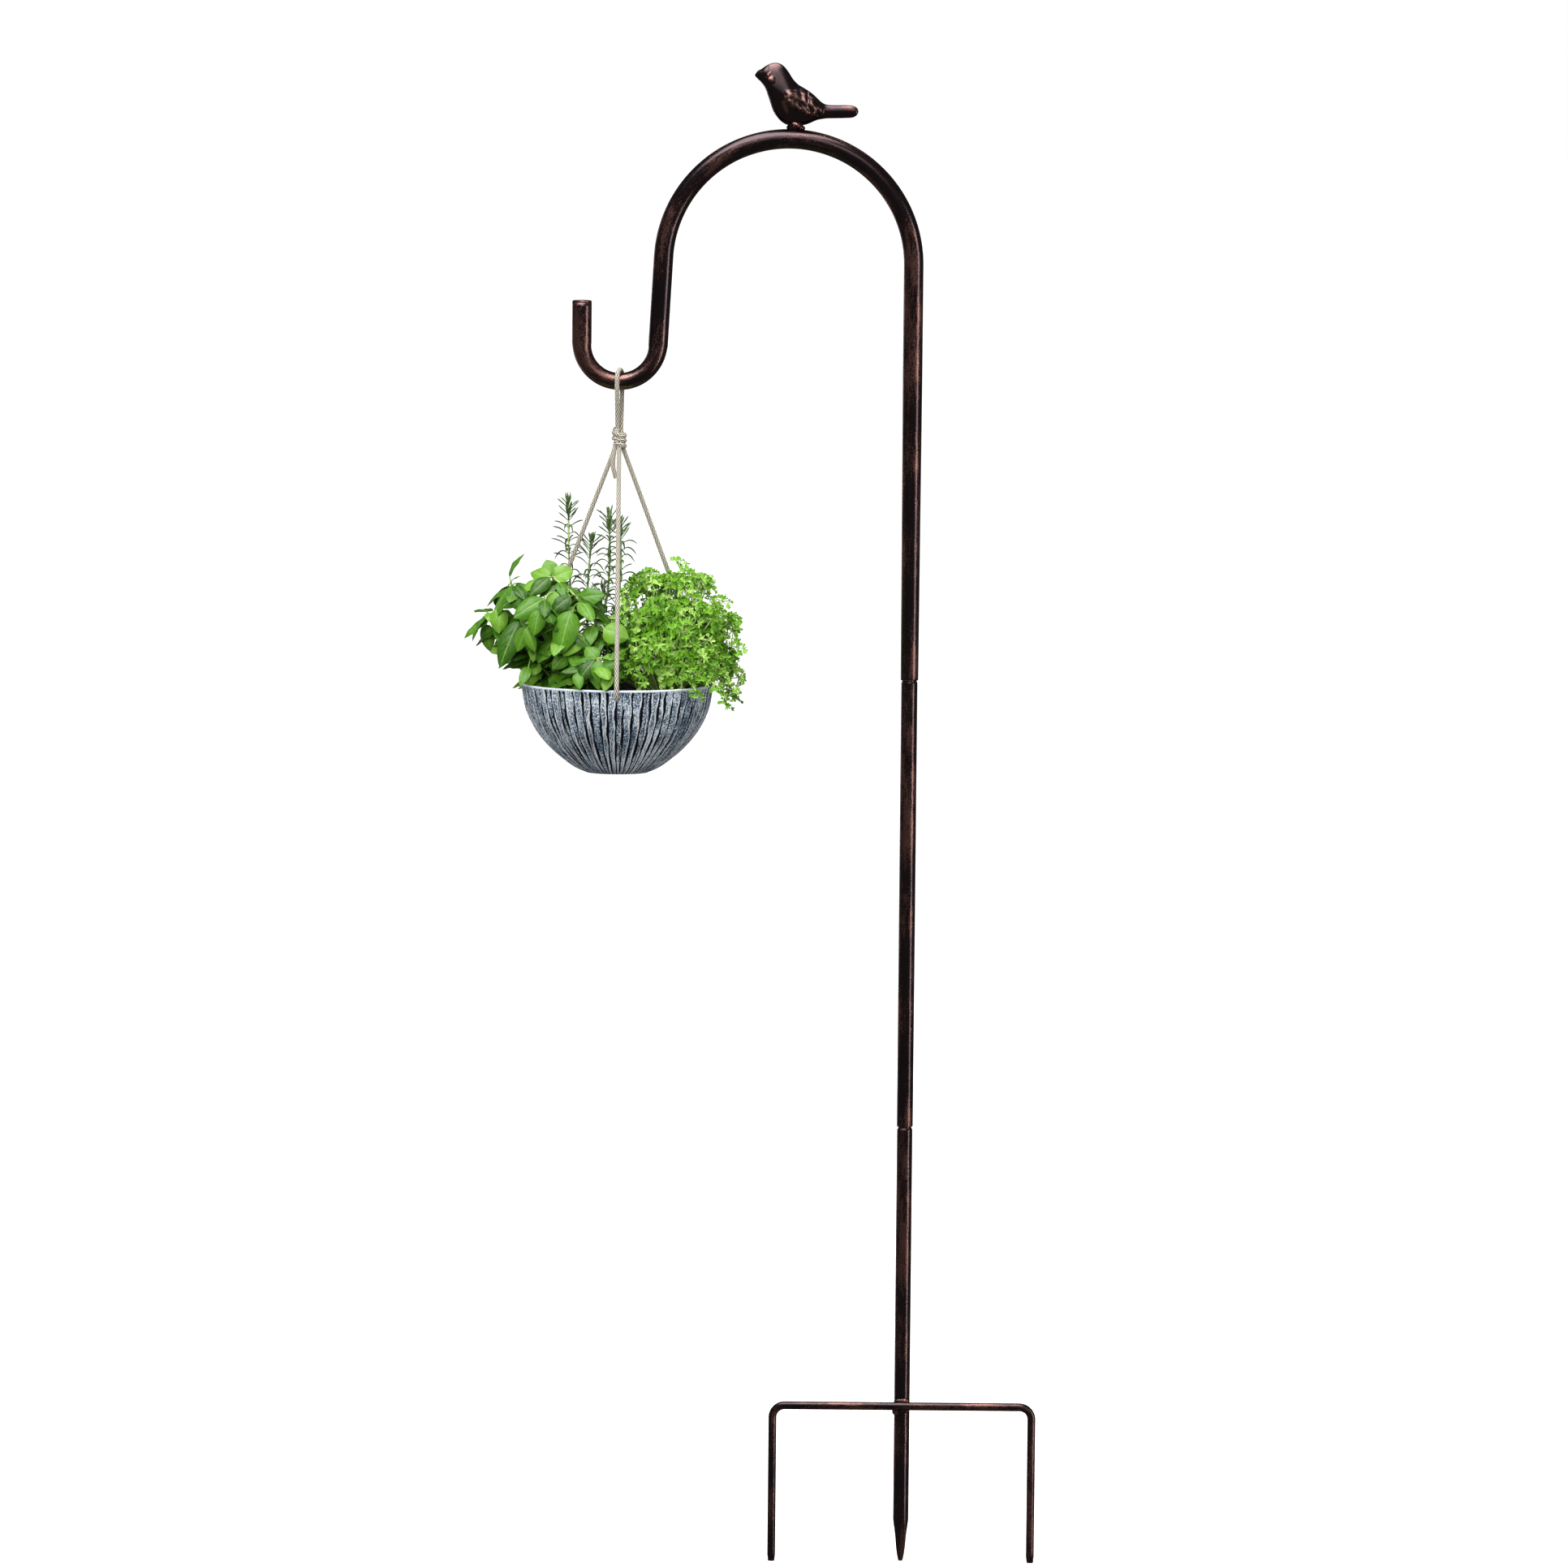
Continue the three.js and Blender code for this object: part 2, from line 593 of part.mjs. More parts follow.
const INNER_SIDES = 32;
const innerRadius = (h) => bowlRadius(h) - BOWL_WALL;
const innerHeights = [BOWL_WALL, ...[0.145, 0.29, 0.484, 0.75].map((up) => ribTop * up)];
const innerShoulder = innerHeights[innerHeights.length - 1];
const bowlInside = (grow, topZ) => solidOf(loft([
  ...innerHeights.map((h) => circle(innerRadius(h) + grow, footZ + h - Math.min(grow, 0), INNER_SIDES, hangX)),
  circle(innerRadius(BOWL_H) + grow, topZ, INNER_SIDES, hangX),
]));

const hangerHole = (deg) => wasm.Manifold
  .cylinder(6 * BOWL_WALL, HANGER_HOLE_R, HANGER_HOLE_R, 12)
  .rotate([0, 90, 0])
  .translate([RIM_R - 4 * BOWL_WALL, 0, 0])
  .rotate([0, 0, deg])
  .translate([hangX, 0, holeZ]);

const bowl = wasm.Manifold.union([bowlInside(0, RIM_Z + 1), ...HANGER_ANGLES.map(hangerHole)]);
add('planter_bowl', largestPiece(bowlOutside.subtract(bowl)), resin);

// ---------- potting soil, sunk a little along the wall ----------
const SOIL_SUNK = 2.5;
const SOIL_FLAT = 0.86; // the level share of the top, on which the plants stand

function soilShape() {
  const rings = innerHeights
    .filter((h) => footZ + h < soilZ - 4)
    .map((h) => circle(innerRadius(h) - FIT, footZ + h + FIT, INNER_SIDES, hangX));
  const topR = innerRadius(soilZ - SOIL_SUNK - footZ) - FIT - 0.4;
  rings.push(circle(topR, soilZ - SOIL_SUNK, INNER_SIDES, hangX));
  rings.push(circle(topR * SOIL_FLAT, soilZ, INNER_SIDES, hangX));
  return loft(rings);
}

add('potting_soil', soilShape(), peat);

// ---------- cords ----------
const axisPoint = (radial, deg, z) => V(hangX + radial * Math.cos(rad(deg)), radial * Math.sin(rad(deg)), z);

// The loop over the hook: up the front, over the tube and down the back, a little askew.
function loopPoints() {
  const endZ = KNOT_Z + knotReach + FIT;
  const halfWide = CROOK_R * (1 + (1 - HOOK_FLAT) * 0.6) + CORD_GAP + CORD_R;
  const topZ = hookFloorZ + CORD_GAP + CORD_R;
  const midZ = HOOK_Z - HOOK_R;
  const closeY = CORD_R + FIT / 2;
  const squarely = (v) => Math.sign(v) * Math.abs(v) ** (2 / LOOP_SQUARE);
  const points = [];
  for (let i = 0; i <= 5; i++) {
    const share = i / 5;
    const ease = share * share * (3 - 2 * share);
    points.push(V(hangX - LOOP_SPREAD, -closeY - (halfWide - closeY) * ease, endZ + (midZ - endZ) * share));
  }
  for (let i = 1; i < 12; i++) {
    const a = Math.PI - (Math.PI * i) / 12;
    points.push(V(hangX + LOOP_SPREAD * Math.cos(a), halfWide * squarely(Math.cos(a)),
      midZ + (topZ - midZ) * squarely(Math.sin(a))));
  }
  for (let i = 0; i <= 5; i++) {
    const share = 1 - i / 5;
    const ease = share * share * (3 - 2 * share);
    points.push(V(hangX + LOOP_SPREAD, closeY + (halfWide - closeY) * ease, endZ + (midZ - endZ) * share));
  }
  return points;
}

add('cord_loop', bar(loopPoints(), CORD_R, CORD_SIDES), twine);

// The knot is one cord: down its own middle, out at the bottom, and round itself on the way up.
function knotPoints() {
  const lowest = -knotHalf;
  const b = KNOT_BEND_R;
  const points = [knotReach - 0.1, 0].map((z) => V(0, 0, z));
  for (let i = 0; i <= 4; i++) {
    const a = ((Math.PI / 2) * i) / 4;
    points.push(V(b * (1 - Math.cos(a)), 0, lowest + b * (1 - Math.sin(a))));
  }
  for (let i = 1; i <= 6; i++) {
    const a = ((Math.PI * 3) / 4) * (i / 6);
    points.push(V(b * (1 + Math.sin(a)), b * (1 - Math.cos(a)), lowest));
  }
  for (let i = 1; i <= KNOT_TURNS * KNOT_STEPS; i++) {
    const a = Math.PI / 4 + (2 * Math.PI * i) / KNOT_STEPS;
    points.push(V(knotWindR * Math.cos(a), knotWindR * Math.sin(a), lowest + (knotPitch * i) / KNOT_STEPS));
  }
  const facing = rad(HANGER_ANGLES[0]) - Math.PI / 4;
  return points.map((p) => p.applyAxisAngle(V(0, 0, 1), facing));
}

// The least gap between stretches of a cord that are further apart along it than it takes to turn back.
function leastGap(points, radius) {
  const along = [0];
  for (let i = 1; i < points.length; i++) along.push(along[i - 1] + points[i].distanceTo(points[i - 1]));
  let least = Infinity;
  for (let i = 0; i < points.length; i++) {
    for (let j = i + 1; j < points.length; j++) {
      if (along[j] - along[i] < 6 * radius) continue;
      least = Math.min(least, points[i].distanceTo(points[j]) - 2 * radius);
    }
  }
  return least;
}

const knotRoute = knotPoints();
console.log('knot: least gap between its turns ' + leastGap(knotRoute, KNOT_CORD_R).toFixed(2) + ' mm');
const mainKnot = bar(knotRoute, KNOT_CORD_R, 6);
mainKnot.translate(hangX, 0, KNOT_Z);
add('cord_knot', mainKnot, twine);

// From the knot down to the rim, round into the hole in the wall, and up to the stop knot inside.
const hangerEndR = Math.min(hangerOutR - hangerBend - 0.6, RIM_R - BOWL_WALL - CORD_R);
const stopCentre = hangerEndR - FIT - STOP_KNOT_R;
const cordInHoleZ = holeZ - HANGER_SAG;

function hangerPoints(deg) {
  const turnZ = cordInHoleZ + hangerBend;
  const points = [];
  for (let i = 0; i < 8; i++) {
    const share = i / 8;
    const out = HANGER_TOP_R + (hangerOutR - HANGER_TOP_R) * share;
    points.push(axisPoint(out, deg, hangerTopZ + (turnZ + 6 - hangerTopZ) * share));
  }
  points.push(axisPoint(hangerOutR, deg, turnZ + 4));
  for (let i = 0; i <= 6; i++) {
    const a = ((Math.PI / 2) * i) / 6;
    const out = hangerOutR - hangerBend * (1 - Math.cos(a));
    points.push(axisPoint(out, deg, turnZ - hangerBend * Math.sin(a)));
  }
  points.push(axisPoint(hangerEndR + 0.1, deg, cordInHoleZ));
  return points;
}

HANGER_ANGLES.forEach((deg, i) => {
  const side = ['front', 'right', 'left'][i];
  add('hanger_' + side, bar(hangerPoints(deg), CORD_R, CORD_SIDES), twine);
  const at = axisPoint(stopCentre, deg, cordInHoleZ);
  const stop = ball(0, 0, 0, STOP_KNOT_R * 0.9, STOP_KNOT_R, STOP_KNOT_R, 10)
    .rotate([0, 0, deg])
    .translate([at.x, at.y, at.z]);
  add('stop_knot_' + side, stop, twine);
});

// The cut end that hangs out of the knot, between the hangers.
const tailRoute = new THREE.CatmullRomCurve3([
  axisPoint(HANGER_TOP_R + 1.2, 213, hangerTopZ),
  axisPoint(HANGER_TOP_R + 2.2, 215, hangerTopZ - 9),
  axisPoint(HANGER_TOP_R + 2.6, 219, hangerTopZ - 18),
  axisPoint(HANGER_TOP_R + 1, 228, hangerTopZ - 26),
]);

// ---------- plants ----------
// Places are measured from the middle of the rim of a bowl of this radius. In a wider one the plants
// spread and grow with it.
const PLANTED_R = 95;
const spread = RIM_R / PLANTED_R;
const plantPoint = ([x, y, z]) => V(hangX + x * spread, y * spread, RIM_Z + z * spread);
// A plant stands on the soil with a ball of this half width and half height, where its stems meet.
const crownAt = ([x, y], [wide, high]) => V(hangX + x * spread, y * spread, soilZ + FIT + high * 0.98);

const BASIL_CROWN = [-44, -10];
const BASIL_CROWN_SIZE = [4, 3];
const BASIL_STEM_R = [1.7, 1.0]; // at the crown and at the tip
const LEAF_STALK_R = 0.9;
const LEAF_THICK = 1.2;
const BASIL_STEMS = {
  A: [[-56, -14, 7], [-76, -20, 38], [-90, -14, 72], [-105, -6, 97]],
  B: [[-26, -18, 8], [-15, -26, 45], [-39, -24, 84], [-63, -8, 103]],
  C: [[-40, -30, 9], [-48, -46, 43], [-68, -44, 70], [-71, -38, 85]],
  D: [[-30, -40, 10], [-23, -66, 20], [-19, -74, 29]],
  E: [[-66, -2, 6], [-87, -8, 30], [-106, 0, 50], [-128, 2, 67]],
  F: [[-53, 4, 6], [-62, 10, 46], [-73, 14, 79]],
  G: [[-68, 12, 5], [-84, 24, 34], [-98, 22, 64]],
};
// Stem, leaf base, leaf tip, width, and the way the leaf faces.
const BASIL_LEAVES = [
  ['A', [-107, -2, 104], [-95, -6, 128], 9, 'left'],
  ['A', [-104, -8, 101], [-96, -12, 106], 5, 'up'],
  ['A', [-104, -8, 96], [-127, -22, 61], 17, 'left'],
  ['E', [-128, -2, 67], [-146, -12, 43], 10, 'left'],
  ['E', [-130, 6, 56], [-125, 8, 28], 12, 'front'],
  ['A', [-116, -18, 74], [-116, -30, 51], 15, 'front'],
  ['A', [-89, -22, 90], [-114, -34, 78], 15, 'front'],
  ['A', [-99, -6, 98], [-84, -16, 91], 13, 'up'],
  ['B', [-67, -6, 104], [-88, 6, 110], 13, 'front'],
  ['B', [-67, -14, 104], [-86, -30, 88], 13, 'front'],
  ['B', [-64, 0, 104], [-71, 8, 121], 14, 'front'],
  ['B', [-62, -6, 104], [-44, -2, 112], 16, 'front'],
  ['C', [-71, -40, 85], [-101, -56, 68], 18, 'front'],
  ['C', [-76, -52, 75], [-81, -62, 51], 14, 'front'],
  ['E', [-97, -30, 62], [-115, -48, 18], 18, 'front'],
  ['E', [-89, -40, 57], [-98, -44, 33], 12, 'front'],
  ['C', [-89, -50, 57], [-79, -58, 35], 10, 'front'],
  ['C', [-62, -30, 92], [-65, -44, 56], 13, 'front'],
  ['B', [-46, -36, 87], [-64, -48, 74], 13, 'front'],
  ['C', [-45, -58, 75], [-56, -74, 34], 21, 'front'],
  ['B', [-39, -28, 84], [-12, -34, 90], 16, 'front'],
  ['C', [-35, -52, 52], [-52, -66, 33], 17, 'front'],
  ['B', [-13, -54, 57], [12, -62, 50], 20, 'front'],
  ['D', [-19, -74, 29], [-30, -66, 42], 13, 'front'],
  ['D', [-22, -78, 28], [-36, -90, 10], 14, 'front'],
  ['D', [-18, -80, 28], [-16, -94, 9], 12, 'front'],
  ['D', [-12, -74, 27], [1, -82, 26], 18, 'front'],
  ['D', [-38, -82, 16], [-35, -98, 4], 9, 'front'],
  ['D', [-6, -84, 15], [-11, -102, 1], 10, 'front'],
  ['E', [-86, -40, 18], [-94, -58, 2], 9, 'front'],
  ['E', [-75, -30, 19], [-83, -40, 10], 7, 'front'],
  ['E', [-110, 2, 33], [-125, -4, 30], 10, 'front'],
  ['E', [-84, -14, 29], [-108, -24, 27], 10, 'up'],
  ['C', [-64, -34, 43], [-77, -46, 22], 15, 'front'],
  ['C', [-48, -56, 31], [-62, -68, 20], 13, 'front'],
  ['B', [-32, -8, 79], [-16, -6, 72], 11, 'front'],
  ['B', [-25, -22, 64], [-5, -26, 61], 9, 'up'],
  ['F', [-82, 18, 76], [-94, 34, 91], 13, 'back'],
  ['F', [-73, 22, 87], [-82, 36, 105], 12, 'back'],
  ['G', [-101, 24, 59], [-117, 40, 66], 13, 'back'],
  ['G', [-106, 26, 47], [-124, 44, 40], 13, 'back'],
  ['G', [-92, 34, 37], [-106, 56, 20], 12, 'back'],
  ['G', [-81, 40, 32], [-86, 66, 9], 12, 'back'],
  ['G', [-90, 30, 61], [-99, 54, 45], 14, 'back'],
  ['F', [-76, 12, 60], [-81, 13, 43], 12, 'back'],
  ['G', [-97, 22, 73], [-109, 34, 81], 11, 'back'],
];
const FACINGS = {
  front: V(0, -0.85, 0.5),
  up: V(0, -0.25, 1),
  left: V(-0.9, -0.4, 0.3),
  back: V(-0.2, 0.85, 0.5),
};

// A folded, drooping blade, thickest along its midrib.
function leaf(base, tip, width, facing) {
  const along = tip.clone().sub(base);
  const length = along.length();
  along.normalize();
  const up = FACINGS[facing].clone();
  up.addScaledVector(along, -up.dot(along)).normalize();
  const side = along.clone().cross(up);
  const at = (t, across, lift) => base.clone()
    .addScaledVector(along, length * t)
    .addScaledVector(side, across)
    .addScaledVector(up, lift - 0.1 * length * t * t);
  const STATIONS = [[0.16, 0.7], [0.42, 1], [0.74, 0.66]];
  const half = (width * spread) / 2;
  const left = STATIONS.map(([t, w]) => at(t, half * w, 0.2 * half * w));
  const right = STATIONS.map(([t, w]) => at(t, -half * w, 0.2 * half * w));
  const top = STATIONS.map(([t]) => at(t, 0, LEAF_THICK / 2));
  const under = STATIONS.map(([t]) => at(t, 0, -LEAF_THICK / 2));
  const points = [at(0, 0, 0), at(1, 0, 0), ...left, ...right, ...top, ...under];
  const [B, T, L, R, U, D] = [0, 1, 2, 5, 8, 11];
  const faces = [];
  const half2 = (edge, mid, flip) => {
    const tris = [[B, edge, mid], [edge, edge + 1, mid + 1], [edge, mid + 1, mid],
      [edge + 1, edge + 2, mid + 2], [edge + 1, mid + 2, mid + 1], [edge + 2, T, mid + 2]];
    for (const [a, b, c] of tris) faces.push(...(flip ? [a, c, b] : [a, b, c]));
  };
  half2(L, U, false);
  half2(R, U, true);
  half2(L, D, true);
  half2(R, D, false);
  return solidOf(outward(points.flatMap((p) => [p.x, p.y, p.z]), faces));
}

function nearestOn(points, target) {
  let best = null;
  for (let i = 0; i + 1 < points.length; i++) {
    const near = new THREE.Line3(points[i], points[i + 1]).closestPointToPoint(target, true, V(0, 0, 0));
    if (!best || near.distanceTo(target) < best.distanceTo(target)) best = near;
  }
  return best;
}

const crownBall = (at, [wide, high]) => ball(at.x, at.y, at.z, wide, wide, high, 8);
const stem = (points, [r0, r1]) => solidOf(bar(points, (share) => r0 + (r1 - r0) * share, 4));

function basilPieces() {
  const crown = crownAt(BASIL_CROWN, BASIL_CROWN_SIZE);
  const pieces = [crownBall(crown, BASIL_CROWN_SIZE)];
  const stems = {};
  for (const [name, places] of Object.entries(BASIL_STEMS)) {
    stems[name] = [crown, ...places.map(plantPoint)];
    pieces.push(stem(stems[name], BASIL_STEM_R));
  }
  for (const [name, base, tip, width, facing] of BASIL_LEAVES) {
    const foot = plantPoint(base);
    const end = plantPoint(tip);
    const from = nearestOn(stems[name], foot);
    const inLeaf = foot.clone().lerp(end, 0.12);
    if (from.distanceTo(inLeaf) > 0.5) {
      pieces.push(spindle(from, from.clone().lerp(inLeaf, 0.6), foot.clone().lerp(end, 0.3), LEAF_STALK_R));
    }
    pieces.push(leaf(foot, end, width, facing));
  }
  return pieces;
}

// Sprigs of rosemary: a stem with needles that arch up and out of it.
const ROSEMARY_CROWN = [-30, 30];
const ROSEMARY_CROWN_SIZE = [4, 2.8];
const ROSEMARY_STEM_R = [1.5, 0.8];
const ROSEMARY_SPRIGS = [
  [[-36, 30, 30], [-46, 32, 78], [-49, 30, 120], [-50, 28, 176]],
  [[-24, 32, 30], [-12, 34, 80], [-9, 32, 120], [-10, 30, 163]],
  [[-30, 36, 30], [-31, 38, 70], [-30, 36, 104], [-27, 34, 138]],
  [[-20, 26, 30], [-4, 26, 70], [2, 24, 104], [1, 22, 156]],
  [[-44, 34, 20], [-56, 44, 52], [-62, 50, 92]],
  [[-24, 40, 20], [-20, 52, 52], [-16, 58, 88]],
  [[-36, 42, 14], [-42, 58, 40], [-44, 68, 68]],
  [[-14, 36, 14], [-4, 50, 36], [0, 62, 58]],
];
const NEEDLE_STEP = 8.6;
const NEEDLE_FROM_Z = 24;
const NEEDLE_LENGTH = [15, 11.5]; // low on a sprig and at its tip
const NEEDLE_VARY = 1.5;
const NEEDLE_LAST = 9;
const NEEDLE_R = 1.1;
const GOLDEN = 2.39996;

function needle(root, heading, out, length) {
  const tip = root.clone().addScaledVector(out, length * 0.86).addScaledVector(heading, length * 0.5);
  const knee = root.clone().addScaledVector(out, length * 0.42).addScaledVector(heading, length * 0.42);
  return spindle(root.clone().addScaledVector(out, -0.2), knee, tip, NEEDLE_R);
}

function rosemaryPieces() {
  const crown = crownAt(ROSEMARY_CROWN, ROSEMARY_CROWN_SIZE);
  const pieces = [crownBall(crown, ROSEMARY_CROWN_SIZE)];
  const [longest, shortest] = NEEDLE_LENGTH;
  ROSEMARY_SPRIGS.forEach((places, s) => {
    const points = [crown, ...places.map(plantPoint)];
    pieces.push(stem(points, ROSEMARY_STEM_R));
    let count = 0;
    for (let i = 1; i < points.length; i++) {
      const heading = points[i].clone().sub(points[i - 1]);
      const length = heading.length();
      heading.normalize();
      const side = V(0, 1, 0).addScaledVector(heading, -heading.y).normalize();
      const up = heading.clone().cross(side);
      for (let d = 0; d < length; d += NEEDLE_STEP) {
        const root = points[i - 1].clone().addScaledVector(heading, d);
        if (root.z < RIM_Z + NEEDLE_FROM_Z * spread) continue;
        const a = count * GOLDEN + s;
        const out = side.clone().multiplyScalar(Math.sin(a)).addScaledVector(up, Math.cos(a));
        const long = longest + (shortest - longest) * (i / points.length);
        pieces.push(needle(root, heading, out, long + NEEDLE_VARY * Math.sin(count * 1.9)));
        count++;
      }
    }
    const end = points[points.length - 1];
    pieces.push(needle(end, V(0, 0, 1), V(0.3, 0, 0.6), NEEDLE_LAST));
  });
  return pieces;
}

// Parsley: curled leaf tufts over a dome, each on its own stalk, and a few that trail over the rim.
const PARSLEY_CROWN = [46, -4];
const PARSLEY_CROWN_SIZE = [6, 4];
const PARSLEY_STALK_R = 1.1;
const PARSLEY_TRAIL_R = 0.9;
const PARSLEY_BOW = [10, 4]; // how far the stalks bow up: at the side of the dome and at its top
const PARSLEY_DOME = { at: [62, 2, 6], size: [58, 72, 106] };
const PARSLEY_TUFTS = 44;
const TUFT_R = 12.5;
const TUFT_VARY = 1.6;
const TUFT_LIFT = 1.6; // a tuft's middle and every fourth point stand up this far
const TUFT_DROP = 1.8;
const PARSLEY_TRAILS = [
  [[70, -40, 12], [90, -60, 8], [104, -66, -2], [108, -68, -14]],
  [[60, -50, 10], [72, -72, 7], [80, -82, -4]],
  [[84, -16, 10], [100, -26, 8], [114, -30, 0], [116, -30, -10]],
  [[76, 30, 10], [96, 40, 8], [108, 46, -2], [110, 48, -14]],
];

function tuft(centre, normal, radius, turn) {
  const up = normal.clone().normalize();
  const side = (Math.abs(up.z) < 0.9 ? V(0, 0, 1) : V(1, 0, 0)).cross(up).normalize();
  const other = up.clone().cross(side);
  const points = [];
  const count = 8;
  for (let j = 0; j < count; j++) {
    const a = turn + (2 * Math.PI * j) / count;
    const r = radius * (j % 2 ? 0.52 : 1);
    points.push(centre.clone().addScaledVector(side, r * Math.cos(a)).addScaledVector(other, r * Math.sin(a))
      .addScaledVector(up, j % 4 ? -TUFT_DROP * 0.66 : TUFT_LIFT));
  }
  points.push(centre.clone().addScaledVector(up, TUFT_LIFT), centre.clone().addScaledVector(up, -TUFT_DROP));
  const faces = [];
  for (let j = 0; j < count; j++) {
    const k = (j + 1) % count;
    faces.push(count, j, k, count + 1, k, j);
  }
  return solidOf(outward(points.flatMap((p) => [p.x, p.y, p.z]), faces));
}

function parsleyPieces() {
  const crown = crownAt(PARSLEY_CROWN, PARSLEY_CROWN_SIZE);
  const pieces = [crownBall(crown, PARSLEY_CROWN_SIZE)];
  const tuftR = TUFT_R * spread;
  const { at, size } = PARSLEY_DOME;
  for (let i = 0; i < PARSLEY_TUFTS; i++) {
    const up = 0.03 + 0.97 * ((i + 0.5) / PARSLEY_TUFTS);
    const flat = Math.sqrt(1 - up * up);
    const a = i * GOLDEN;
    const normal = V(flat * Math.cos(a), flat * Math.sin(a), up);
    const reach = 0.93 + 0.07 * Math.sin(i * 3.1);
    const centre = plantPoint([at[0] + size[0] * normal.x * reach, at[1] + size[1] * normal.y * reach,
      at[2] + size[2] * normal.z * reach]);
    const bow = crown.clone().lerp(centre, 0.5).add(V(0, 0, PARSLEY_BOW[0] * flat + PARSLEY_BOW[1]));
    pieces.push(spindle(crown, bow, centre.clone().addScaledVector(normal, 1), PARSLEY_STALK_R));
    pieces.push(tuft(centre, normal, tuftR + TUFT_VARY * Math.sin(i * 1.3), i));
  }
  PARSLEY_TRAILS.forEach((places, s) => {
    const points = [crown, ...places.map(plantPoint)];
    pieces.push(stem(points, [PARSLEY_TRAIL_R, PARSLEY_TRAIL_R]));
    points.slice(2).forEach((p, i) => {
      pieces.push(tuft(p, V(0.5, -0.5 + 0.3 * s, 0.7), 0.92 * tuftR, i + s));
    });
  });
  return pieces;
}

// Each plant keeps to its own part of the bowl, so that none runs into another.
const FAR = 400;
const SPLIT = 0.4; // half the gap between two plants
const MIDDLE_X = 6; // parsley is to the right of this
const BACK_Y = 15; // rosemary is behind this
const LEFT_X = -76; // and basil has all that is left of this
const FRONT_Y = -44; // along the front, basil
const FRONT_X = 19; // reaches this far to the right
const room = ([x0, y0], [x1, y1]) => block(
  [hangX + x0 * spread + SPLIT, y0 * spread + SPLIT, RIM_Z - FAR],
  [hangX + x1 * spread - SPLIT, y1 * spread - SPLIT, RIM_Z + FAR],
);
const parsleyRoom = wasm.Manifold.union([
  room([MIDDLE_X, FRONT_Y], [FAR, FAR]),
  room([FRONT_X, -FAR], [FAR, FAR]),
]);
const rosemaryRoom = room([LEFT_X, BACK_Y], [MIDDLE_X, FAR]);
const basilRoom = wasm.Manifold.union([
  room([-FAR, -FAR], [MIDDLE_X, BACK_Y]),
  room([-FAR, -FAR], [FRONT_X, FRONT_Y]),
  room([-FAR, -FAR], [LEFT_X, FAR]),
]);

// Everything that a leaf or stem must stay clear of: the bowl's wall, the soil and the cords.
const LEAF_GAP = 0.6;
const keepOut = wasm.Manifold.union([
  solidOf(loft([
    circle(RIM_R - 10, footZ, 48, hangX),
    circle(RIM_R + LEAF_GAP, footZ + 0.7 * BOWL_H, 48, hangX),
    circle(RIM_R + LEAF_GAP, RIM_Z + FIT, 48, hangX),
  ])).subtract(solidOf(loft([
    circle(innerRadius(innerShoulder) - 4 * LEAF_GAP, soilZ, 48, hangX),
    circle(innerRadius(BOWL_H) - LEAF_GAP, RIM_Z + 1, 48, hangX),
  ]))),
  ...HANGER_ANGLES.map((deg) => solidOf(bar(hangerPoints(deg), CORD_R + FIT + 0.2, 8))),
  ...HANGER_ANGLES.map((deg) => {
    const at = axisPoint(stopCentre, deg, cordInHoleZ);
    return wasm.Manifold.sphere(STOP_KNOT_R + FIT + 0.2, 12).translate([at.x, at.y, at.z]);
  }),
]);

function plant(pieces, where) {
  return largestPiece(wasm.Manifold.union(pieces).intersect(where).subtract(keepOut));
}

add('cord_tail', bar(tailRoute.getPoints(16), CORD_R, CORD_SIDES), twine);
add('basil', plant(basilPieces(), basilRoom), basilGreen);
add('rosemary', plant(rosemaryPieces(), rosemaryRoom), rosemaryGreen);
add('parsley', plant(parsleyPieces(), parsleyRoom), parsleyGreen);

export default group;
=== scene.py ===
import json
import random
from math import copysign, cos, pi, radians, sin, sqrt

import bpy
import numpy as np
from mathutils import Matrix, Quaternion, Vector

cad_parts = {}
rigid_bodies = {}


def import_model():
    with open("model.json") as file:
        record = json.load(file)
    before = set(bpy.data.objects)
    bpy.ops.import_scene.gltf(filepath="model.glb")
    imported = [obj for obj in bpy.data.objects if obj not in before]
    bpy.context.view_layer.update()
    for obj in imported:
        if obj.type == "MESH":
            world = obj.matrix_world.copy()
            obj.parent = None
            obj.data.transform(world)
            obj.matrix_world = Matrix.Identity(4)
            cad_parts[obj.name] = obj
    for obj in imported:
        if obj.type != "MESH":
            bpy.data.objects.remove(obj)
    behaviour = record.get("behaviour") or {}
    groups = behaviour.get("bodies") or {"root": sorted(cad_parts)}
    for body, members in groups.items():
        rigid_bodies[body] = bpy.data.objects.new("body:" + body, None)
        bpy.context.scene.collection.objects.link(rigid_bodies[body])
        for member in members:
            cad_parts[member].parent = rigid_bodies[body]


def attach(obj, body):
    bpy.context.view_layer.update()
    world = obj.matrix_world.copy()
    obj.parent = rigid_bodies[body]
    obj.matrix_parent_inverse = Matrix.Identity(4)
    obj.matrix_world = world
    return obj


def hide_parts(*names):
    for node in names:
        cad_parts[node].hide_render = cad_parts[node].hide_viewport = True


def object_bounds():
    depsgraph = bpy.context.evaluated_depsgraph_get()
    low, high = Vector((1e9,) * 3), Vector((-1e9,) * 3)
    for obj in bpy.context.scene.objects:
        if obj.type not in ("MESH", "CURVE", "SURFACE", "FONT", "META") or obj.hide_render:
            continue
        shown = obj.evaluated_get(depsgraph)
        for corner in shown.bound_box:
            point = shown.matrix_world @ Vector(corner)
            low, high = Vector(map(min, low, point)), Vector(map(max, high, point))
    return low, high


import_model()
cad_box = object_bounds()
scene = bpy.context.scene
MM = 0.001

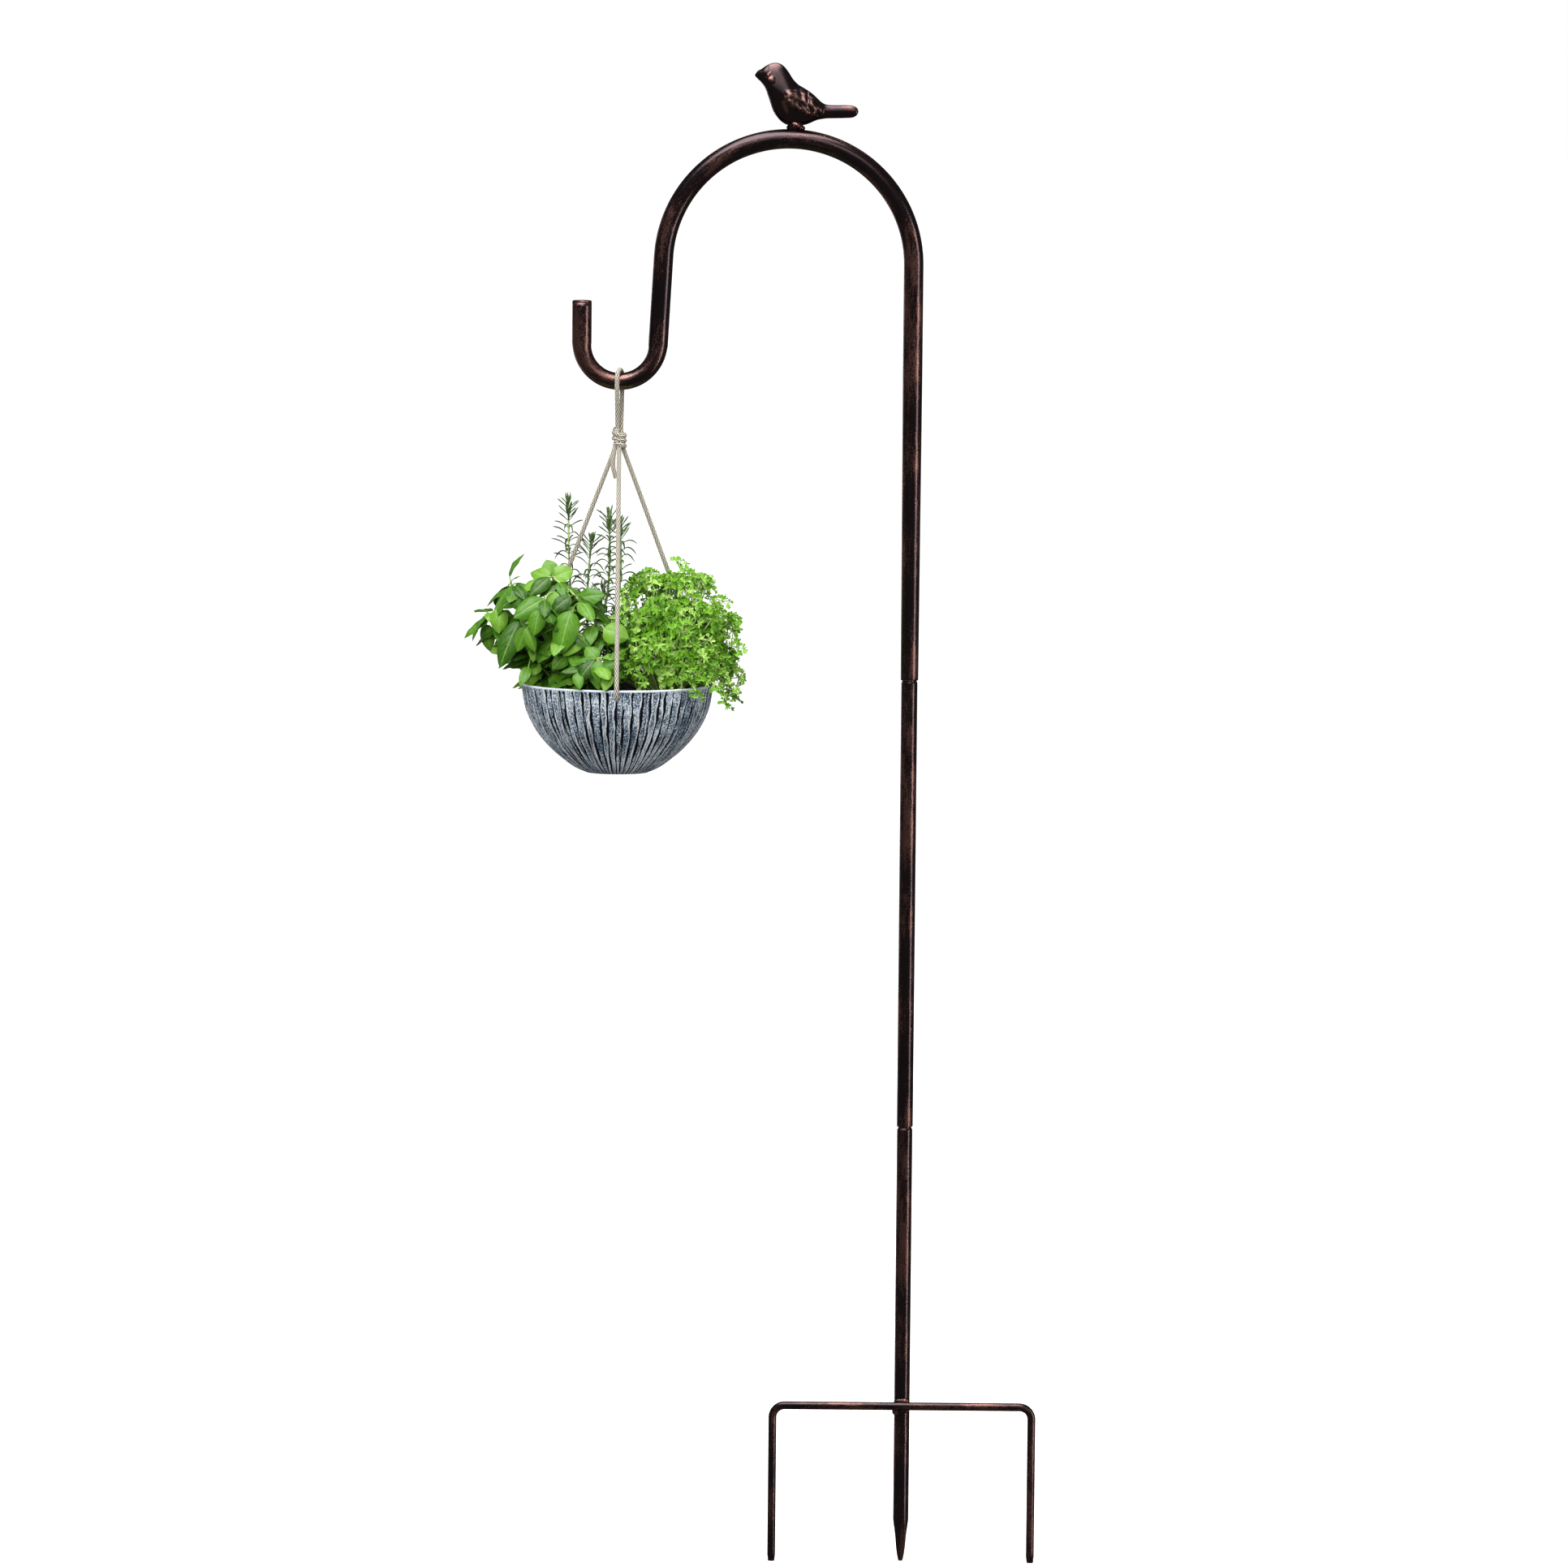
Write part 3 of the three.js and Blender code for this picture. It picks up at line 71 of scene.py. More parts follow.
# ---------- camera ----------
CAMERA_AT = (-0.12228, -9.0, 1.4418)
LOOK_AT = (-0.12228, 0.0, 0.61938)
CAMERA_LENS = 210.97
CAMERA_ROLL = 0.00921

cam_data = bpy.data.cameras.new("camera")
cam_data.sensor_width = 36
cam_data.lens = CAMERA_LENS
cam_data.clip_end = 200
camera = bpy.data.objects.new("camera", cam_data)
scene.collection.objects.link(camera)
camera.location = CAMERA_AT
aim = (Vector(LOOK_AT) - Vector(CAMERA_AT)).to_track_quat("-Z", "Y")
camera.rotation_mode = "QUATERNION"
camera.rotation_quaternion = aim @ Quaternion((0, 0, 1), CAMERA_ROLL)
scene.camera = camera

# ---------- sizes, in millimetres as in the part's source ----------
FIT = 0.3  # clearance between pieces
HANG_X = -286.897  # hook, knot and bowl hang one below the other here
KNOT_Z, RIM_Z = 958.5, 717.7

MIDDLE_R, LOWER_R, CROOK_R_LOW, CROOK_R = 8.0, 7.7, 8.7, 9.6
WALL, EDGE, SWAGE, SPIGOT, CAP_THICK = 1.2, 0.9, 3.0, 45, 2.2
UPPER_JOINT_Z, LOWER_JOINT_Z, TAPER_TOP_Z, SPIKE_TIP_Z = 723.0, 281.0, 1020.0, -152.4
ARCH_R, ARCH_Z, SLANT = 122.5, 1130.0, radians(3.1)
HOOK_R, HOOK_Z, HOOK_TIP = 37.4, 1051.3, 42.0
HOOK_FLAT, HOOK_BULGE = 0.88, 0.6  # how far the bend is squeezed, and the share by which it widens
ROD_R, ROD_BEND_R, PRONG_X, PRONG_TIP_Z = 4.0, 12.0, 128.0, -152.0
BIRD_AHEAD, BIRD_STAND = 5.6, 4.2  # the bird's foot from the arch's crown, and off its tube

RIM_R, FOOT_R, BOWL_H, BOWL_WALL = 95.0, 31.0, 87.7, 4.5
LIP, LIP_OUT, RIB_DEPTH, SOIL_DROP = 5.0, 0.8, 1.7, 22.0
BOWL_CURVE = [(0, 0), (0.06, 0.174), (0.169, 0.373), (0.314, 0.585), (0.508, 0.786), (0.75, 0.937), (1, 1)]
FOOT_Z = RIM_Z - BOWL_H
RIB_TOP = BOWL_H - LIP
SOIL_Z = RIM_Z - SOIL_DROP

CORD_R, CORD_GAP = 2.2, 0.75
LOOP_SPREAD, LOOP_SQUARE, LOOP_END, LOOP_LIFT, LOOP_NEAR = 2.3, 2.8, 3.0, 0.25, 1.5
KNOT_TURNS, KNOT_CORD_R, WINDING_GAP = 3.5, 1.95, 0.8
HANGER_TOP_R, HANGER_SAG, HANGER_HOLE_DROP = 4.6, 0.9, 8.7
HANGER_ANGLES = {"front": 270.6, "right": 28.0, "left": 156.0}
KNOT_HALF = KNOT_TURNS * (2 * KNOT_CORD_R + WINDING_GAP) / 2
HANGER_TOP_Z = KNOT_Z - KNOT_HALF - KNOT_CORD_R - FIT
HANGER_OUT_R = RIM_R + CORD_R + CORD_GAP
HANGER_BEND = 4 * CORD_R
HANGER_END_R = min(HANGER_OUT_R - HANGER_BEND - 0.6, RIM_R - BOWL_WALL - CORD_R)
CORD_IN_HOLE_Z = RIM_Z - HANGER_HOLE_DROP - HANGER_SAG
STOP_KNOT_R = 4.6
STOP_CENTRE = HANGER_END_R - FIT - STOP_KNOT_R


# ---------- node helpers ----------
class Nodes:
    """Builds a material's node tree with short calls."""

    def __init__(self, name):
        self.material = bpy.data.materials.new(name)
        self.material.use_nodes = True
        self.tree = self.material.node_tree
        self.shader = next(n for n in self.tree.nodes if n.type == "BSDF_PRINCIPLED")
        self.surface = next(n for n in self.tree.nodes if n.type == "OUTPUT_MATERIAL")

    def new(self, kind, **settings):
        node = self.tree.nodes.new(kind)
        for key, value in settings.items():
            setattr(node, key, value)
        return node

    def link(self, source, target):
        self.tree.links.new(source, target)

    def put(self, target, value):
        if hasattr(value, "is_linked"):
            self.link(value, target)
        else:
            target.default_value = value

    def attribute(self, name, part="Fac"):
        return self.new("ShaderNodeAttribute", attribute_name=name).outputs[part]

    def objects(self):
        return self.new("ShaderNodeTexCoord").outputs["Object"]

    def stretched(self, vector, scale):
        node = self.new("ShaderNodeVectorMath", operation="MULTIPLY")
        self.put(node.inputs[0], vector)
        node.inputs[1].default_value = scale
        return node.outputs[0]

    def noise(self, vector, scale, detail, rough):
        node = self.new("ShaderNodeTexNoise")
        self.put(node.inputs["Vector"], vector)
        node.inputs["Scale"].default_value = scale
        node.inputs["Detail"].default_value = detail
        node.inputs["Roughness"].default_value = rough
        return node.outputs["Fac"]

    def ramp(self, value, stops):
        node = self.new("ShaderNodeValToRGB")
        self.put(node.inputs["Fac"], value)
        elements = node.color_ramp.elements
        while len(elements) < len(stops):
            elements.new(0.5)
        for element, (place, colour) in zip(elements, stops):
            element.position = place
            if not hasattr(colour, "__len__"):
                colour = (colour, colour, colour)
            element.color = (*colour[:3], 1)
        return node.outputs["Color"]

    def mix(self, share, a, b, blend="MIX"):
        node = self.new("ShaderNodeMix", data_type="RGBA", blend_type=blend)
        self.put(node.inputs["Factor"], share)
        self.put(node.inputs["A"], (*a, 1) if isinstance(a, tuple) else a)
        self.put(node.inputs["B"], (*b, 1) if isinstance(b, tuple) else b)
        return node.outputs["Result"]

    def math(self, operation, a, b=0.0, c=0.0, clamp=False):
        node = self.new("ShaderNodeMath", operation=operation, use_clamp=clamp)
        for socket, value in zip(node.inputs, (a, b, c)):
            self.put(socket, value)
        return node.outputs[0]

    def bump(self, height, strength, distance):
        node = self.new("ShaderNodeBump")
        node.inputs["Strength"].default_value = strength
        node.inputs["Distance"].default_value = distance
        self.link(height, node.inputs["Height"])
        self.link(node.outputs["Normal"], self.shader.inputs["Normal"])

    def set(self, **inputs):
        for key, value in inputs.items():
            self.put(self.shader.inputs[key.replace("_", " ")], value)


# ---------- materials ----------
def bronze_material(name, grain, warm=1.0, rubbed=0.0, rub_and_highlight=False):
    """Near-black metallic lacquer, brushed through to reddish copper.

    The rub runs along a tube, or lies on the high parts of a casting; on the bird the copper is also painted
    highlight on the cheek, brow, eye, crown and upper tail.
    """
    n = Nodes(name)
    where = n.attribute("grain", "Vector") if grain else n.objects()
    streak = n.noise(n.stretched(where, (1500, 1500, 130) if grain else (520, 520, 520)), 1.0, 4, 0.6)
    patches = n.noise(n.stretched(where, (80, 80, 16) if grain else (95, 95, 95)), 1.0, 3, 0.5)
    speck = n.noise(where, 1200.0, 3, 0.6)
    if rub_and_highlight:
        # The bird's copper follows its attribute: rub on the wing, and painted highlight on the cheek, brow,
        # eye, upper tail and crown.
        high = n.math("MULTIPLY_ADD", n.attribute("rub_and_highlight"), 0.62, n.math("MULTIPLY", streak, 0.22))
        worn = n.math("ADD", high, n.math("MULTIPLY", n.math("ADD", patches, speck), 0.30))
        mask = n.ramp(worn, [(0.52, 0.0), (0.90, 0.8)])
        bright = 0.72
    else:
        worn = n.math("MULTIPLY_ADD", streak, 0.55, n.math("MULTIPLY", patches, 0.9))
        worn = n.math("MULTIPLY_ADD", speck, 0.5, n.math("ADD", worn, rubbed - 0.075))
        mask = n.ramp(worn, [(0.94, 0.0), (0.98, 0.4), (1.0, 0.7)])
        bright = 1.0
    dark = n.ramp(patches, [(0.3, (0.070, 0.053, 0.058)), (0.7, (0.100, 0.058, 0.058))])
    copper = n.ramp(speck, [(0.3, (0.30 * warm * bright, 0.135 * bright, 0.110 * bright)),
                            (0.7, (0.58 * warm * bright, 0.29 * bright, 0.24 * bright))])
    n.set(Base_Color=n.mix(mask, dark, copper), Metallic=1.0)
    n.set(Roughness=n.math("MULTIPLY_ADD", speck, 0.16, n.math("MULTIPLY_ADD", mask, 0.18, 0.15)))
    n.bump(n.math("MULTIPLY_ADD", streak, 0.6, speck), 0.22, 0.0003)
    return n.material


def cord_material():
    n = Nodes("cord_braid")
    braid_shade = n.attribute("braid_shade")
    fibre = n.noise(n.objects(), 2600.0, 3, 0.6)
    # The braid value paints the gaps between strands near black as painted shade, and their crowns in the
    # cord's own cream.
    light = n.ramp(braid_shade, [
        (0.0, (0.016, 0.011, 0.007)), (0.22, (0.085, 0.062, 0.038)), (0.45, (0.52, 0.455, 0.345)),
        (0.72, (0.86, 0.82, 0.71)), (1.0, (0.96, 0.94, 0.88)),
    ])
    n.set(Base_Color=n.mix(n.math("MULTIPLY", fibre, 0.25), light, (0.52, 0.45, 0.34)))
    n.set(Roughness=n.math("MULTIPLY_ADD", fibre, 0.2, 0.62))
    n.set(Sheen_Weight=0.15, Sheen_Roughness=0.5)
    n.bump(fibre, 0.3, 0.0002)
    return n.material


def bowl_material():
    """Blue-grey resin cast like bark: grooves painted black as painted shade, plates and ridges dragged over
    with a white wash, and the inner wall painted near black as painted shade.
    """
    n = Nodes("bowl_bark")
    where = n.objects()
    deep, ridge, lip, inside = (n.attribute(name) for name in ("groove", "ridge", "lip", "inside"))
    grit = n.noise(n.stretched(where, (1.0, 1.0, 0.55)), 1050.0, 4, 0.62)
    drag = n.noise(n.stretched(where, (1.0, 1.0, 0.20)), 420.0, 3, 0.55)
    clouds = n.noise(where, 46.0, 3, 0.5)
    tone = n.math("MULTIPLY_ADD", drag, 0.6, n.math("MULTIPLY", clouds, 0.4))
    plate = n.ramp(tone, [
        (0.36, (0.014, 0.034, 0.070)), (0.50, (0.050, 0.100, 0.172)), (0.64, (0.160, 0.235, 0.320)),
    ])
    wash = n.math("MULTIPLY_ADD", grit, 0.95, n.math("MULTIPLY", n.math("SUBTRACT", clouds, 0.5), 0.32))
    wash = n.ramp(wash, [(0.47, 0.0), (0.51, 0.5), (0.55, 1.0)])
    colour = n.mix(wash, plate, (0.82, 0.90, 0.97))
    crest = n.math("MULTIPLY", ridge, n.ramp(grit, [(0.34, 0.6), (0.5, 1.3)]), clamp=True)
    colour = n.mix(crest, colour, (0.92, 0.96, 1.0))
    # The grooves are painted near black: painted shade in the recesses.
    colour = n.mix(n.ramp(deep, [(0.16, 0.0), (0.48, 1.0)]), colour, (0.0025, 0.0035, 0.0060))
    pale = n.ramp(grit, [(0.36, (0.55, 0.64, 0.72)), (0.6, (0.84, 0.90, 0.94))])
    colour = n.mix(lip, colour, pale)
    # The inner wall is painted near black: painted shade inside the bowl.
    n.set(Base_Color=n.mix(inside, colour, (0.006, 0.006, 0.008)))
    n.set(Roughness=n.math("MULTIPLY_ADD", grit, 0.25, 0.50))
    n.set(Specular_IOR_Level=0.3)
    n.bump(n.math("MULTIPLY_ADD", drag, 0.5, grit), 0.6, 0.0008)
    return n.material


def soil_material():
    n = Nodes("potting_soil")
    where = n.objects()
    crumbs = n.noise(where, 420.0, 5, 0.7)
    n.set(Base_Color=n.ramp(crumbs, [
        (0.35, (0.004, 0.003, 0.002)), (0.55, (0.018, 0.011, 0.007)), (0.75, (0.07, 0.045, 0.028)),
    ]))
    n.set(Roughness=0.95)
    n.bump(crumbs, 0.9, 0.002)
    return n.material


def leaf_material(name, dark, mid, light, vein, gloss, veins=True):
    """Blade: side to side in the attribute's x, from base to tip in its y, the leaf's own number in its z,
    lowered on rosemary needles' undersides and edges as painted shade.
    """
    n = Nodes(name)
    blade = n.new("ShaderNodeSeparateXYZ")
    n.link(n.attribute("blade", "Vector"), blade.inputs[0])
    across, along, own = blade.outputs
    mottle = n.noise(n.objects(), 260.0, 3, 0.55)
    tone = n.math("MULTIPLY_ADD", own, 0.75, n.math("MULTIPLY", mottle, 0.3))
    colour = n.ramp(tone, [(0.12, dark), (0.5, mid), (0.92, light)])
    height = mottle
    if veins:
        side = n.math("ABSOLUTE", across)
        rib = n.ramp(side, [(0.0, 0.85), (0.05, 0.5), (0.10, 0.0)])
        slope = n.math("MULTIPLY_ADD", n.math("POWER", side, 1.5), -0.42, along)
        wave = n.math("ABSOLUTE", n.math("SINE", n.math("MULTIPLY", slope, 19.0)))
        fine = n.ramp(wave, [(0.0, 0.75), (0.16, 0.25), (0.3, 0.0)])
        lines = n.math("MAXIMUM", rib, n.math("MULTIPLY", fine, n.ramp(side, [(0.0, 1.0), (0.9, 0.2)])))
        colour = n.mix(n.math("MULTIPLY", lines, 0.62), colour, vein)
        height = n.math("MULTIPLY_ADD", lines, -0.8, n.math("MULTIPLY", mottle, 0.4))
    n.set(Base_Color=colour)
    n.set(Roughness=n.math("MULTIPLY_ADD", mottle, 0.2, gloss))
    n.set(Subsurface_Weight=0.12, Subsurface_Radius=(0.004, 0.008, 0.002), Subsurface_Scale=0.35)
    n.bump(height, 0.5, 0.0006)
    return n.material


BRONZE = bronze_material("bronze_tube", True)
BRONZE_ROD = bronze_material("bronze_rod", True, 1.05, 0.02)
BRONZE_CAST = bronze_material("bronze_cast", False, 0.95, rub_and_highlight=True)
BRONZE_WELD = bronze_material("bronze_weld", False, 1.1, 0.05)
CORD = cord_material()
BOWL = bowl_material()
SOIL = soil_material()
BASIL = leaf_material("basil_leaf", (0.016, 0.072, 0.003), (0.080, 0.245, 0.010), (0.200, 0.430, 0.040),
                      (0.34, 0.56, 0.13), 0.28)
BASIL_STEM = leaf_material("basil_stem", (0.16, 0.32, 0.04), (0.34, 0.54, 0.12), (0.55, 0.70, 0.26),
                           (0.4, 0.5, 0.2), 0.5, False)
ROSEMARY = leaf_material("rosemary_needle", (0.045, 0.090, 0.030), (0.135, 0.225, 0.075), (0.42, 0.55, 0.26),
                         (0.3, 0.4, 0.2), 0.42, False)
ROSEMARY_STEM = leaf_material("rosemary_stem", (0.18, 0.30, 0.07), (0.38, 0.54, 0.19), (0.56, 0.68, 0.34),
                              (0.3, 0.4, 0.2), 0.6, False)
PARSLEY = leaf_material("parsley_leaf", (0.036, 0.150, 0.004), (0.200, 0.490, 0.020), (0.600, 0.870, 0.240),
                        (0.5, 0.7, 0.2), 0.40, False)
PARSLEY_STEM = leaf_material("parsley_stem", (0.24, 0.44, 0.07), (0.46, 0.66, 0.18), (0.68, 0.82, 0.38),
                             (0.5, 0.6, 0.3), 0.5, False)


# ---------- mesh helpers, in millimetres ----------
def place(name, shape, material, body, slot, nodes):
    """A new piece on its body: points in millimetres, faces and named values of the points."""
    verts, faces, values = shape
    mesh = bpy.data.meshes.new(name)
    mesh.from_pydata((np.asarray(verts, float) * MM).tolist(), [], [list(map(int, f)) for f in faces])
    for key, data in values.items():
        data = np.asarray(data, float)
        flat = data.ndim == 1
        layer = mesh.attributes.new(key, "FLOAT" if flat else "FLOAT_VECTOR", "POINT")
        layer.data.foreach_set("value" if flat else "vector", data.ravel())
    mesh.materials.append(material)
    mesh.polygons.foreach_set("use_smooth", [True] * len(mesh.polygons))
    mesh.update()
    obj = bpy.data.objects.new(name, mesh)
    scene.collection.objects.link(obj)
    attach(obj, body)
    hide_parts(*nodes)
    return obj


def grid_faces(rows, columns, start=0, closed=True):
    faces = []
    for i in range(rows - 1):
        for j in range(columns if closed else columns - 1):
            k = (j + 1) % columns
            a = start + i * columns
            faces.append((a + j, a + k, a + columns + k, a + columns + j))
    return faces


def end_faces(rows, columns):
    """The two faces that close a grid of rings at its ends."""
    last = (rows - 1) * columns
    return [tuple(range(columns))[::-1], tuple(range(last, last + columns))]


def unit(v):
    return v / np.linalg.norm(v)


def turn_of(count):
    """That many angles all the way round."""
    return 2 * np.pi * np.arange(count) / count


def frames_along(points):
    """A tangent, a side and an up direction at each point, without twist."""
    points = np.asarray(points, float)
    ahead = np.vstack([points[1:], points[-1:]])
    behind = np.vstack([points[:1], points[:-1]])
    tangents = ahead - behind
    tangents /= np.linalg.norm(tangents, axis=1)[:, None]
    side = np.array([0.0, 0, 1]) if abs(tangents[0][2]) < 0.9 else np.array([0.0, 1, 0])
    sides = []
    for t in tangents:
        side = unit(side - t * side.dot(t))
        sides.append(side)
    sides = np.array(sides)
    return tangents, sides, np.cross(tangents, sides)


def lengths(points):
    points = np.asarray(points, float)
    return np.concatenate([[0], np.cumsum(np.linalg.norm(np.diff(points, axis=0), axis=1))])


def resample(points, step):
    """Points of a smooth line through the given ones, about a step apart."""
    points = np.asarray(points, float)
    s = lengths(points)
    count = max(2, int(round(s[-1] / step)) + 1)
    at = np.linspace(0, s[-1], count)
    padded = np.vstack([2 * points[0] - points[1], points, 2 * points[-1] - points[-2]])
    out = []
    for d in at:
        i = min(max(int(np.searchsorted(s, d, side="right")) - 1, 0), len(points) - 2)
        t = (d - s[i]) / max(s[i + 1] - s[i], 1e-9)
        p0, p1, p2, p3 = padded[i], padded[i + 1], padded[i + 2], padded[i + 3]
        d1 = s[i + 1] - s[i]
        m1 = (p2 - p0) / max(np.linalg.norm(p2 - p1) + np.linalg.norm(p1 - p0), 1e-9) * d1
        m2 = (p3 - p1) / max(np.linalg.norm(p3 - p2) + np.linalg.norm(p2 - p1), 1e-9) * d1
        h = (2 * t**3 - 3 * t**2 + 1, t**3 - 2 * t**2 + t, -2 * t**3 + 3 * t**2, t**3 - t**2)
        out.append(h[0] * p1 + h[1] * m1 + h[2] * p2 + h[3] * m2)
    return np.array(out)


def tube(points, radius, sides):
    """Points, faces, distance along and angle round of a round bar that follows a line."""
    points = np.asarray(points, float)
    _, side, up = frames_along(points)
    s = lengths(points)
    angles = turn_of(sides)
    verts = []
    for i, p in enumerate(points):
        r = radius(s[i] / s[-1]) if callable(radius) else radius
        verts.append(p + r * (np.cos(angles)[:, None] * side[i] + np.sin(angles)[:, None] * up[i]))
    faces = grid_faces(len(points), sides) + end_faces(len(points), sides)
    return np.vstack(verts), faces, np.repeat(s, sides), np.tile(angles, len(points))


def grain_of(along, angle, radius):
    """The tube's surface as if it were straight, in metres, for streaks that follow it."""
    return np.stack([radius * np.cos(angle), radius * np.sin(angle), along], 1) * MM


def joined(parts):
    """Several (verts, faces, {values}) as one."""
    verts, faces, values, start = [], [], {}, 0
    for v, f, extra in parts:
        verts.append(np.asarray(v, float))
        faces.extend(tuple(i + start for i in face) for face in f)
        for key, data in extra.items():
            values.setdefault(key, []).append(np.asarray(data, float))
        start += len(v)
    return np.vstack(verts), faces, {k: np.concatenate(d) for k, d in values.items()}


# ---------- cords ----------
BRAID_PITCH = 9.6
BRAID_STRANDS = 6
CORD_SIDES = 24


def braided(points, radius, step=0.42):
    """A cord of crossing strands: each strand dips where it goes under another."""
    line = resample(points, step)
    verts, faces, along, angle = tube(line, radius, CORD_SIDES)
    a = BRAID_STRANDS * angle / 2 + 2 * np.pi * along / BRAID_PITCH
    b = BRAID_STRANDS * angle / 2 - 2 * np.pi * along / BRAID_PITCH
    over = np.sin(a) * np.sin(b) > 0
    one, two = np.abs(np.cos(a)), np.abs(np.cos(b))
    height = np.where(over, np.maximum(one, two * 0.72), np.maximum(two, one * 0.72))
    middle = np.repeat(line, CORD_SIDES, axis=0)
    verts = middle + (verts - middle) * (0.82 + 0.24 * height[:, None])
    # Colour value: light on the strands' crowns, near black in the dips between them, and darker still where
    # a strand passes under another. This is painted shade in the braid's gaps.
    light = np.clip((height - 0.62) / 0.30, 0, 1)
    light *= np.where(over, 1.0, 0.78)
    return (verts, faces, {"braid_shade": light}), line


def axis_point(radial, degrees, z):
    a = radians(degrees)
    return [HANG_X + radial * cos(a), radial * sin(a), z]


def loop_points():
    """From inside the knot up in front of the hook, over it and down behind it, into the knot again."""
    end_z = KNOT_Z + LOOP_END
    half = CROOK_R * (1 + (1 - HOOK_FLAT) * HOOK_BULGE) + CORD_GAP + CORD_R
    mid_z = HOOK_Z - HOOK_R
    top_z = mid_z + CROOK_R * HOOK_FLAT + CORD_GAP + CORD_R + LOOP_LIFT

    def square(v):
        return copysign(abs(v) ** (2 / LOOP_SQUARE), v)

    def leg(share, way):
        ease = share * share * (3 - 2 * share)
        x = LOOP_SPREAD * (0.75 + 0.25 * ease)
        y = LOOP_NEAR + (half - LOOP_NEAR) * ease
        return [HANG_X + way * x, way * y, end_z + (mid_z - end_z) * share]

    points = [leg(i / 7, -1) for i in range(8)]
    for i in range(1, 12):
        a = pi - pi * i / 12
        points.append([HANG_X + LOOP_SPREAD * cos(a), half * square(cos(a)),
                       mid_z + (top_z - mid_z) * square(sin(a))])
    return points + [leg(1 - i / 7, 1) for i in range(8)]


WRAPS, WRAP_R, WRAP_PITCH, WRAP_SLOPE, WRAP_CORD_R = 3.3, 5.1, 4.7, 0.50, 2.35
WRAP_STEPS, WRAP_START, WRAP_TUCK = 24, 2.4, 3.2  # points in a turn, first angle, how fast the ends tuck in


def knot_points():
    """The knot's wraps, which slant down to the right as one sees it, with both ends tucked in."""
    points = []
    for i in range(int(WRAPS * WRAP_STEPS) + 1):
        share = i / (WRAPS * WRAP_STEPS)
        a = 2 * pi * WRAPS * share + WRAP_START
        tuck = min(1, share * WRAPS * WRAP_TUCK, (1 - share) * WRAPS * WRAP_TUCK)
        r = WRAP_R * (0.35 + 0.65 * tuck) * (1 + 0.05 * sin(5 * a))
        x, y = r * cos(a), r * sin(a)
        z = WRAP_PITCH * WRAPS * (share - 0.5) - WRAP_SLOPE * x + 0.5 * sin(1.7 * a)
        points.append([HANG_X + x, y, KNOT_Z + z])
    return points


def hanger_points(degrees):
    turn_z = CORD_IN_HOLE_Z + HANGER_BEND
    points = [axis_point(1.8, degrees, HANGER_TOP_Z + 7.5), axis_point(2.9, degrees, HANGER_TOP_Z + 4)]
    for i in range(8):
        share = i / 8
        out = HANGER_TOP_R + (HANGER_OUT_R - HANGER_TOP_R) * share
        points.append(axis_point(out, degrees, HANGER_TOP_Z + (turn_z + 6 - HANGER_TOP_Z) * share))
    points.append(axis_point(HANGER_OUT_R, degrees, turn_z + 4))
    for i in range(7):
        a = pi / 2 * i / 6
        points.append(axis_point(HANGER_OUT_R - HANGER_BEND * (1 - cos(a)), degrees,
                                 turn_z - HANGER_BEND * sin(a)))
    points.append(axis_point(HANGER_END_R + 0.1, degrees, CORD_IN_HOLE_Z))
    return points


def cord_piece(name, points, body, nodes):
    shape, line = braided(points, CORD_R)
    obj = place(name, shape, CORD, body, "cord", nodes)


knot = place("knot_of_cord", braided(knot_points(), WRAP_CORD_R, 0.4)[0], CORD, "knot", "cord", ["cord_knot"])
cord_piece("loop_of_cord", loop_points(), "hanging_loop", ["cord_loop"])
TAIL = [(3.4, 206, 6.0), (4.9, 210, 2.2), (6.8, 215, -9), (7.2, 219, -18), (5.6, 228, -26), (4.6, 232, -28.6)]
cord_piece("tail_of_cord", [axis_point(r, d, HANGER_TOP_Z + z) for r, d, z in TAIL], "planter",
           ["cord_tail"])


STOP_CORD_R = 1.35  # the cord in the stop knots, thinner than the free cord


def stop_knot(degrees):
    """An overhand knot's two crossed turns, as one closed winding of the cord."""
    count = 90
    points = []
    for i in range(count + 1):
        a = 2 * pi * i / count
        r = 2.45 + 0.9 * cos(3 * a)
        points.append([0.9 * sin(3 * a) * 1.5, r * cos(2 * a), r * sin(2 * a)])
    c, s = cos(radians(degrees)), sin(radians(degrees))
    centre = axis_point(STOP_CENTRE, degrees, CORD_IN_HOLE_Z)
    return [[centre[0] + x * c - y * s, centre[1] + x * s + y * c, centre[2] + z] for x, y, z in points]


for side, degrees in HANGER_ANGLES.items():
    stop = place("stop_knot_of_cord_" + side, braided(stop_knot(degrees), STOP_CORD_R, 0.4)[0], CORD,
                 "planter", "cord", ["stop_knot_" + side])
    cord_piece("hanger_of_cord_" + side, hanger_points(degrees), "planter", ["hanger_" + side])


# ---------- tubes ----------
TUBE_SIDES = 48


